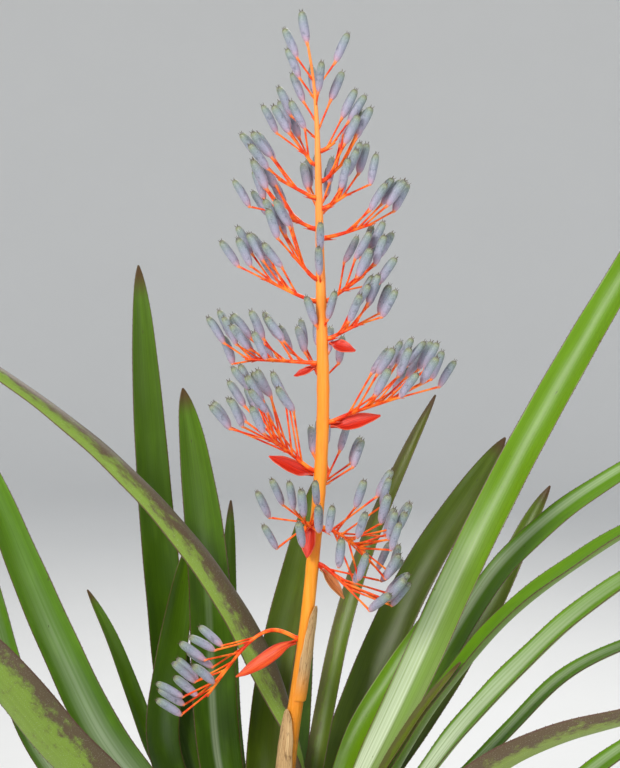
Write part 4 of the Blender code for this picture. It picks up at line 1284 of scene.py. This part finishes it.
def makeFlowers():
    randomiser = random.Random(7)
    rings = stalkRings()
    skin, branchSkin = stalkFinish(), branchFinish()
    bud = makeBudTemplate(budFinish(), budTipFinish())
    redScale = bractFinish("scaleSkin", (0.60, 0.02, 0.008), (0.90, 0.10, 0.02), (0.9, 0.2, 0.06))
    scale = makeScaleTemplate(redScale)
    lines, taken = branchLines(rings)
    finishes = bractFinishes()
    for name, plan in bractPlan.items():
        points, side = bractLine(lines[plan["branch"]], plan)
        makeBract(name, plan, points, side, finishes[plan.get("look", "red")])
        for a, b in zip(points, points[1:]):
            taken.append((a, b, plan["width"] * mm * bractShape["roomShare"]))
    loneLines = loneFlowerLines(rings)
    for line in loneLines:
        taken.extend(flowerParts(line))
    makeStalk(rings, loneLines, skin, branchSkin, bud, scale, randomiser)
    for name, plan in branchPlan.items():
        makeBranch(name, plan, lines[name], taken, branchSkin, bud, scale, randomiser)
    paper = sheathFinish()
    for name, plan in sheathPlan.items():
        makeSheath(name, plan, rings, paper)
    for template in (bud, scale):
        bpy.data.objects.remove(template, do_unlink=True)
    print("flower stalk and branches made:", len(branchPlan))


def makeStalk(rings, loneLines, skin, branchSkin, bud, scale, randomiser):
    shape = stalkShape
    centres = [point for point, _ in rings]
    fine = evenLine(centres, shape["fineBands"])
    fine[0], fine[-1] = centres[0], centres[-1]
    # a slight swelling below each branch
    joints = [soilTop + plan["height"] * mm - shape["jointDrop"] for plan in branchPlan.values()]
    radii = []
    for point in fine:
        radius = shape["radius"] * stalkShare((point.z - soilTop) / mm)
        swelling = sum(math.exp(-((point.z - joint) / shape["jointReach"]) ** 2) for joint in joints)
        radii.append(radius * (1.0 + shape["jointSwelling"] * min(swelling, shape["mostSwelling"])))
    stalk = stemCurve("stalkTube", [(fine, radii)], shape["roundness"], skin)
    stems = stemCurve("lonePedicels", [pedicelStrand(line) for line in loneLines], 1, branchSkin)
    parts = [stalk, stems] + flowersOnStems(loneLines, bud, scale, randomiser)
    stalk = joinPieces("flower_stalk", parts)
    smoothShaded(stalk, 60)
    settle(stalk, "flower_stalk")


def footScale(line, scale):
    # the small bract under the foot of a branch
    below = line[0] - Vector((0.0, 0.0, flowerShape["branchRadius"] * flowerShape["footScaleDrop"]))
    heading = (line[3] - line[1]).normalized() - Vector((0.0, 0.0, flowerShape["footScaleDip"]))
    sized = Matrix.Diagonal((*flowerShape["footScaleSize"], 1.0))
    return placedCopy(scale, Matrix.Translation(below) @ turnedTo(heading) @ sized)


def makeBranch(name, plan, line, taken, branchSkin, bud, scale, randomiser):
    shape = flowerShape
    outward = bearingVector(math.radians(plan["bearing"]))
    bands = shape["fineBands"]
    bare = plan["bare"] / 100
    fine = evenLine(line, bands)
    directions = tangents(fine)
    flowerLines = []
    for k in range(plan["flowers"]):
        share = (k + 0.5) / plan["flowers"]
        place = round((bare + share * (shape["lastFlower"] - bare)) * bands)
        turn = k * math.radians(shape["goldenAngle"])
        spot = placeFlower(fine[place], directions[place], outward, share, turn, plan, taken)
        flowerLines.append(spot)
        taken.extend(flowerParts(spot))
    tapers = [1.0 - shape["branchTaper"] * k / bands for k in range(bands + 1)]
    radii = [shape["branchRadius"] * taper for taper in tapers]
    axis = stemCurve(name + "_axis", [(fine, radii)], 3, branchSkin)
    strands = [pedicelStrand(spot) for spot in flowerLines]
    stems = stemCurve(name + "_pedicels", strands, 1, branchSkin)
    parts = [axis, stems] + flowersOnStems(flowerLines, bud, scale, randomiser)
    parts.append(footScale(line, scale))
    branch = joinPieces(name, parts)
    smoothShaded(branch, 60)
    settle(branch, name)


def bractFinishes():
    return {
        "red": bractFinish(
            "bractSkin", (0.34, 0.006, 0.003), (0.72, 0.035, 0.008), (0.80, 0.14, 0.07)
        ),
        "folded": bractFinish(
            "foldedBractSkin", (0.52, 0.020, 0.003), (0.82, 0.13, 0.022), (0.42, 0.012, 0.003)
        ),
        "withered": bractFinish(
            "witheredSkin", (0.22, 0.06, 0.02), (0.62, 0.22, 0.06), (0.50, 0.30, 0.14)
        ),
    }


def makeBract(name, plan, points, side, finish):
    shape = bractShape
    bands = shape["bands"]
    line = evenLine(points, bands)
    widths, halfAngles, turns = [], [], []
    for k in range(bands + 1):
        share = k / bands
        swell = math.sin(math.pi * (shape["footShare"] + (1.0 - shape["footShare"]) * share))
        widths.append(max(plan["width"] * mm * max(swell, 0.0) ** shape["fullness"], shape["leastWidth"]))
        halfAngles.append(math.radians(shape["openAngle"] - shape["closeAngle"] * share))
        turns.append(math.radians(plan["roll"]) * smoothShare(share * shape["rollRate"]))
    across, ripple = shape["cellsAcross"], shape["ripple"]
    bract = bentSheet(name, across, line, side, widths, halfAngles, turns, ripple)
    addFinishes(bract, [finish])
    thickened(bract, shape["thickness"])
    settle(bract, name)


sheathShape = dict(
    thickness=0.0008, cellsAcross=14, bands=36, flare=0.0014, leastWrap=6, skinShare=0.7,
    ripple=0.0005,
)
sheathPlan = {
    "sheath_lower": dict(foot=168, length=84, bearing=226, wrap=78),
    "sheath_upper": dict(foot=258, length=84, bearing=-42, wrap=66),
}


def makeSheath(name, plan, rings, finish):
    shape = sheathShape
    bearing, wrap = math.radians(plan["bearing"]), math.radians(plan["wrap"])
    bands = shape["bands"]
    line, widths, halfAngles = [], [], []
    for k in range(bands + 1):
        share = k / bands
        point, _, radius = stalkAt(rings, soilTop + (plan["foot"] + plan["length"] * share) * mm)
        around = radius / math.cos(math.pi / stalkShape["coarseSides"]) + gap + shape["thickness"]
        around += shape["flare"] * share
        line.append(point + bearingVector(bearing) * around)
        halfAngle = max(wrap * math.sqrt(1.0 - share ** 2), math.radians(shape["leastWrap"]))
        halfAngles.append(halfAngle)
        widths.append(2 * around * halfAngle)
    side = Vector((math.sin(bearing), -math.cos(bearing), 0.0))
    across, turns, ripple = shape["cellsAcross"], [0.0] * (bands + 1), shape["ripple"]
    sheath = bentSheet(name, across, line, side, widths, halfAngles, turns, ripple)
    addFinishes(sheath, [finish])
    thickened(sheath, shape["thickness"] * shape["skinShare"])
    settle(sheath, name)


def terracottaFinish():
    finish, tree, shader = startFinish("terracotta", Roughness=0.86, Specular_IOR_Level=0.25)
    clouds = objectSpots(tree, 11.0, stretch=(1, 1, 1.6), detail=5.0, roughness=0.6)
    stops = [(0.0, (0.36, 0.130, 0.060)), (1.0, (0.60, 0.27, 0.155)), (0.5, (0.48, 0.19, 0.095))]
    colour = colourRamp(tree, between(tree, clouds, 0.30, 0.72), stops)
    bloom = objectSpots(tree, 26.0, stretch=(1, 1, 0.35), detail=6.0, roughness=0.68, offset=(2, 7, 1))
    colour = mixed(tree, between(tree, bloom, 0.52, 0.74, 0.0, 0.5), colour, (0.72, 0.56, 0.46))
    rings = objectSpots(tree, 1.0, stretch=(3, 3, 620), detail=2.0)
    grit = objectSpots(tree, 620.0, detail=3.0, roughness=0.7)
    colour = mixed(tree, between(tree, grit, 0.60, 0.74, 0.0, 0.5), colour, (0.24, 0.09, 0.05))
    paint(tree, shader, colour, between(tree, bloom, 0.4, 0.8, 0.80, 0.95))
    height = maths(tree, "ADD", maths(tree, "MULTIPLY", rings, 0.6), maths(tree, "MULTIPLY", grit, 0.5))
    addBump(tree, shader, height, 0.35, 0.0006)
    return finish


def soilFinish(name, dark, pale, scale):
    finish, tree, shader = startFinish(name, Roughness=0.95, Specular_IOR_Level=0.2)
    spots = objectSpots(tree, scale, detail=5.0, roughness=0.7)
    paint(tree, shader, mixed(tree, between(tree, spots, 0.35, 0.68), dark, pale))
    addBump(tree, shader, spots, 0.8, 0.0012)
    return finish


def crownFinish():
    finish, tree, shader = startFinish("crownSkin", Roughness=0.7, Specular_IOR_Level=0.3)
    fibres = objectSpots(tree, 1.0, stretch=(240, 240, 30), detail=4.0)
    share = between(tree, fibres, 0.32, 0.68)
    paint(tree, shader, mixed(tree, share, (0.15, 0.10, 0.035), (0.42, 0.36, 0.14)))
    addBump(tree, shader, fibres, 0.6, 0.0008)
    return finish


potShape = dict(
    baseRadius=0.082, sides=96, rimHeight=0.032, rimStep=0.004, wall=0.007,
    drainRadius=0.006, drainRing=0.045, drainCount=3,
)


def potOutline():
    # up the outside from the foot, over the rim and down the inside, with softened edges
    shape = potShape
    base, wall, step = shape["baseRadius"], shape["wall"], shape["rimStep"]
    top, height = potHigh.x, potHigh.z
    wallTop = top - step
    rimLow = height - shape["rimHeight"]
    mouth = top - step - wall

    def wallAt(z):
        return base + (wallTop - base) * z / height

    neck = wallAt(rimLow)
    return [
        (base - 0.0040, 0.0), (base - 0.0012, 0.0006), (base, 0.0030),
        (wallAt(rimLow * 0.25), rimLow * 0.25), (wallAt(rimLow * 0.6), rimLow * 0.6),
        (neck - 0.0006, rimLow - 0.0010), (neck + 0.0022, rimLow - 0.0002),
        (neck + step - 0.0004, rimLow + 0.0016), (neck + step, rimLow + 0.005),
        (top - 0.0004, height - 0.0060), (top - 0.0008, height - 0.0026),
        (top - 0.0030, height - 0.0004), (mouth + 0.0026, height - 0.0002),
        (mouth + 0.0006, height - 0.0020), (mouth - 0.0006, height - 0.012),
        (wallAt(wall) - wall, wall),
    ]


def makePot():
    shape = potShape
    pot = turnedBody("pot_body", shape["sides"], potOutline())
    for k in range(shape["drainCount"]):
        turn = math.tau * k / shape["drainCount"]
        spot = bearingVector(turn) * shape["drainRing"]
        spot.z = shape["wall"] / 2
        deselectAll()
        bpy.ops.mesh.primitive_cylinder_add(
            vertices=32, radius=shape["drainRadius"], depth=shape["wall"] * 4, location=spot
        )
        drill = bpy.context.object
        hole = pot.modifiers.new("hole", "BOOLEAN")
        hole.operation = "DIFFERENCE"
        hole.object = drill
        applyModifiers(pot)
        bpy.data.objects.remove(drill, do_unlink=True)
    addFinishes(pot, [terracottaFinish()])
    smoothShaded(pot, 32)
    settle(pot, "pot")
    print("pot made")


soilShape = dict(
    sides=96, rings=34, crownRoom=0.0006, potRoom=0.0004, depth=0.03, wave=0.0007, roughness=0.0009,
    sunk=0.0008, innerEase=0.006, outerEase=0.004, lumpSunk=0.0006, tumble=0.4, narrowness=(0.45, 0.9),
    # count, smallest and largest size, flatness
    lumps=[(1500, 0.0010, 0.0028, 0.75), (120, 0.0035, 0.0085, 0.35), (90, 0.0012, 0.0030, 0.75)],
)


def makeSoilBed(hollow, radius, randomiser):
    # rings drawn outwards from the crown to the pot, then down, and roughened on top
    shape = soilShape
    deselectAll()
    bpy.ops.mesh.primitive_circle_add(
        vertices=shape["sides"], radius=hollow, fill_type="NOTHING", location=(0, 0, soilTop)
    )
    bed = bpy.context.object
    bpy.ops.object.transform_apply(location=True, rotation=False, scale=False)
    bpy.ops.object.mode_set(mode="EDIT")
    bpy.ops.mesh.select_all(action="SELECT")
    reach = hollow
    for k in range(shape["rings"]):
        nextReach = hollow + (radius - shape["potRoom"] - hollow) * (k + 1) / shape["rings"]
        bpy.ops.mesh.extrude_region_move(TRANSFORM_OT_translate={"value": (0, 0, 0)})
        share = nextReach / reach
        bpy.ops.transform.resize(value=(share, share, 1), center_override=(0, 0, soilTop))
        reach = nextReach
    bpy.ops.mesh.extrude_region_move(TRANSFORM_OT_translate={"value": (0, 0, -shape["depth"])})
    bpy.ops.object.mode_set(mode="OBJECT")
    for vert in bed.data.vertices:
        if vert.co.z > soilTop - 0.01:
            level = math.hypot(vert.co.x, vert.co.y)
            wave = math.sin(vert.co.x * 190 + 1.0) * math.cos(vert.co.y * 230)
            wave += math.sin((vert.co.x + vert.co.y) * 410)
            edge = smoothShare((level - hollow) / shape["innerEase"])
            edge *= smoothShare((radius - level) / shape["outerEase"])
            crumbs = randomiser.uniform(-shape["roughness"], shape["roughness"])
            vert.co.z += (wave * shape["wave"] + crumbs) * edge - shape["sunk"]
    return bed


def scatterLumps(lump, plan, hollow, radius, randomiser):
    count, small, large, flat = plan
    copies = []
    for _ in range(count):
        size = randomiser.uniform(small, large)
        turn = randomiser.uniform(0, math.tau)
        level = math.sqrt(randomiser.uniform((hollow + large) ** 2, (radius - large) ** 2))
        spot = bearingVector(turn) * level
        spot.z = soilTop + size * flat * 0.3 - soilShape["lumpSunk"]
        tumble = Matrix.Rotation(randomiser.uniform(0, math.tau), 4, "Z")
        tilt = randomiser.uniform(-soilShape["tumble"], soilShape["tumble"])
        tumble = tumble @ Matrix.Rotation(tilt, 4, "X")
        narrow = randomiser.uniform(*soilShape["narrowness"])
        sized = Matrix.Diagonal((size, size * narrow, size * flat, 1.0))
        copies.append(placedCopy(lump, Matrix.Translation(spot) @ tumble @ sized))
    return copies


def makeSoil():
    randomiser = random.Random(11)
    radius = soilHigh.x
    hollow = crownHigh.x + soilShape["crownRoom"]
    finishes = [
        soilFinish("pottingMixBed", (0.018, 0.012, 0.008), (0.085, 0.055, 0.034), 300.0),
        soilFinish("barkChip", (0.07, 0.030, 0.014), (0.26, 0.14, 0.075), 170.0),
        soilFinish("paleGrit", (0.42, 0.40, 0.36), (0.74, 0.72, 0.67), 380.0),
    ]
    bed = makeSoilBed(hollow, radius, randomiser)
    addFinishes(bed, finishes)
    parts = [bed]
    for index, plan in enumerate(soilShape["lumps"]):
        deselectAll()
        bpy.ops.mesh.primitive_ico_sphere_add(subdivisions=1, radius=1.0)
        lump = bpy.context.object
        addFinishes(lump, finishes)
        for face in lump.data.polygons:
            face.material_index = index
        parts += scatterLumps(lump, plan, hollow, radius, randomiser)
        bpy.data.objects.remove(lump, do_unlink=True)
    soil = joinPieces("potting_mix_bed", parts)
    smoothShaded(soil, 30)
    settle(soil, "potting_mix")
    print("potting mix made")


def makeCrown():
    foot, top = crownHigh.x, leafShape["crownTopRadius"]
    profile = [(foot, crownLow.z), (foot, soilTop + crownShape["footRise"])]
    for k in range(1, crownShape["rings"] + 1):
        reach = foot + (top - foot) * k / crownShape["rings"]
        profile.append((reach, crownSurface(reach) - crownShape["ringDepth"] * (k % 2)))
    crown = turnedBody("crown_stem", crownShape["sides"], profile)
    addFinishes(crown, [crownFinish()])
    smoothShaded(crown, 30)
    settle(crown, "crown")
    print("crown made")


studioPlan = dict(
    floorRadius=4.2, coveRadius=1.8, wallHeight=4.5, coveRings=12, sides=96,
    floorColour=(0.79, 0.79, 0.78),
    sky=(0.90, 0.94, 1.0), skyStrength=0.58,
    lights=[
        # name, place, size, watts, colour
        ("keyLight", (-1.30, -2.30, 2.10), 1.1, 82.0, (1.0, 0.97, 0.92)),
        ("fillLight", (1.90, -1.90, 1.10), 1.6, 24.0, (0.92, 0.96, 1.0)),
        ("backLight", (0.60, 1.90, 2.30), 1.2, 34.0, (1.0, 0.98, 0.95)),
    ],
)


def floorFinish():
    finish, tree, shader = startFinish("floorPaint", Roughness=0.75, Specular_IOR_Level=0.2)
    spots = objectSpots(tree, 3.0, detail=3.0)
    colour = studioPlan["floorColour"]
    paint(tree, shader, mixed(tree, spots, colour, [c * 0.97 for c in colour]))
    return finish


def makeFloor():
    # a round floor that curves up into a plain wall all round, open at the top
    plan = studioPlan
    cove, wallTop = plan["coveRadius"], potLow.z + plan["wallHeight"]
    profile = [(plan["floorRadius"], potLow.z)]
    for k in range(1, plan["coveRings"] + 1):
        turn = math.pi / 2 * k / plan["coveRings"]
        reach = plan["floorRadius"] + cove * math.sin(turn)
        profile.append((reach, potLow.z + cove * (1 - math.cos(turn))))
    profile.append((plan["floorRadius"] + cove, wallTop))
    floor = turnedBody("studioFloor", plan["sides"], profile)
    bpy.ops.object.mode_set(mode="EDIT")
    bpy.ops.mesh.select_all(action="DESELECT")
    bpy.ops.object.mode_set(mode="OBJECT")
    for face in floor.data.polygons:
        face.select = face.center.z > wallTop - 0.01
    bpy.ops.object.mode_set(mode="EDIT")
    bpy.ops.mesh.delete(type="FACE")
    bpy.ops.mesh.select_all(action="SELECT")
    bpy.ops.mesh.flip_normals()
    bpy.ops.object.mode_set(mode="OBJECT")
    smoothShaded(floor, 60)
    addFinishes(floor, [floorFinish()])


def makeStudio():
    plan = studioPlan
    makeFloor()
    world = bpy.data.worlds.new("studioSky")
    bpy.context.scene.world = world
    world.use_nodes = True
    sky = world.node_tree.nodes["Background"]
    sky.inputs["Color"].default_value = (*plan["sky"], 1.0)
    sky.inputs["Strength"].default_value = plan["skyStrength"]
    target = Vector(viewPlan["lookAt"])
    for name, place, size, watts, colour in plan["lights"]:
        lamp = bpy.data.lights.new(name, "AREA")
        lamp.shape = "DISK"
        lamp.size = size
        lamp.energy = watts
        lamp.color = colour
        light = bpy.data.objects.new(name, lamp)
        light.location = place
        light.rotation_euler = (target - Vector(place)).to_track_quat("-Z", "Y").to_euler()
        bpy.context.collection.objects.link(light)
    print("studio made")


viewPlan = dict(lookAt=(0.030, 0.0, 0.717), distance=1.5, tilt=5.0, lens=82.7, sensor=36.0)


def makeView():
    plan = viewPlan
    tilt = math.radians(plan["tilt"])
    target = Vector(plan["lookAt"])
    eye = bpy.data.cameras.new("viewCamera")
    eye.lens = plan["lens"]
    eye.sensor_fit = "VERTICAL"
    eye.sensor_height = plan["sensor"]
    camera = bpy.data.objects.new("viewCamera", eye)
    camera.location = target + Vector((0.0, -math.cos(tilt), math.sin(tilt))) * plan["distance"]
    camera.rotation_euler = (math.radians(90) - tilt, 0.0, 0.0)
    bpy.context.collection.objects.link(camera)
    bpy.context.scene.camera = camera
    bpy.context.scene.view_settings.view_transform = "Standard"
    print("view set")


makeView()
makeStudio()
makePot()
makeSoil()
makeCrown()
makeLeaves()
makeFlowers()
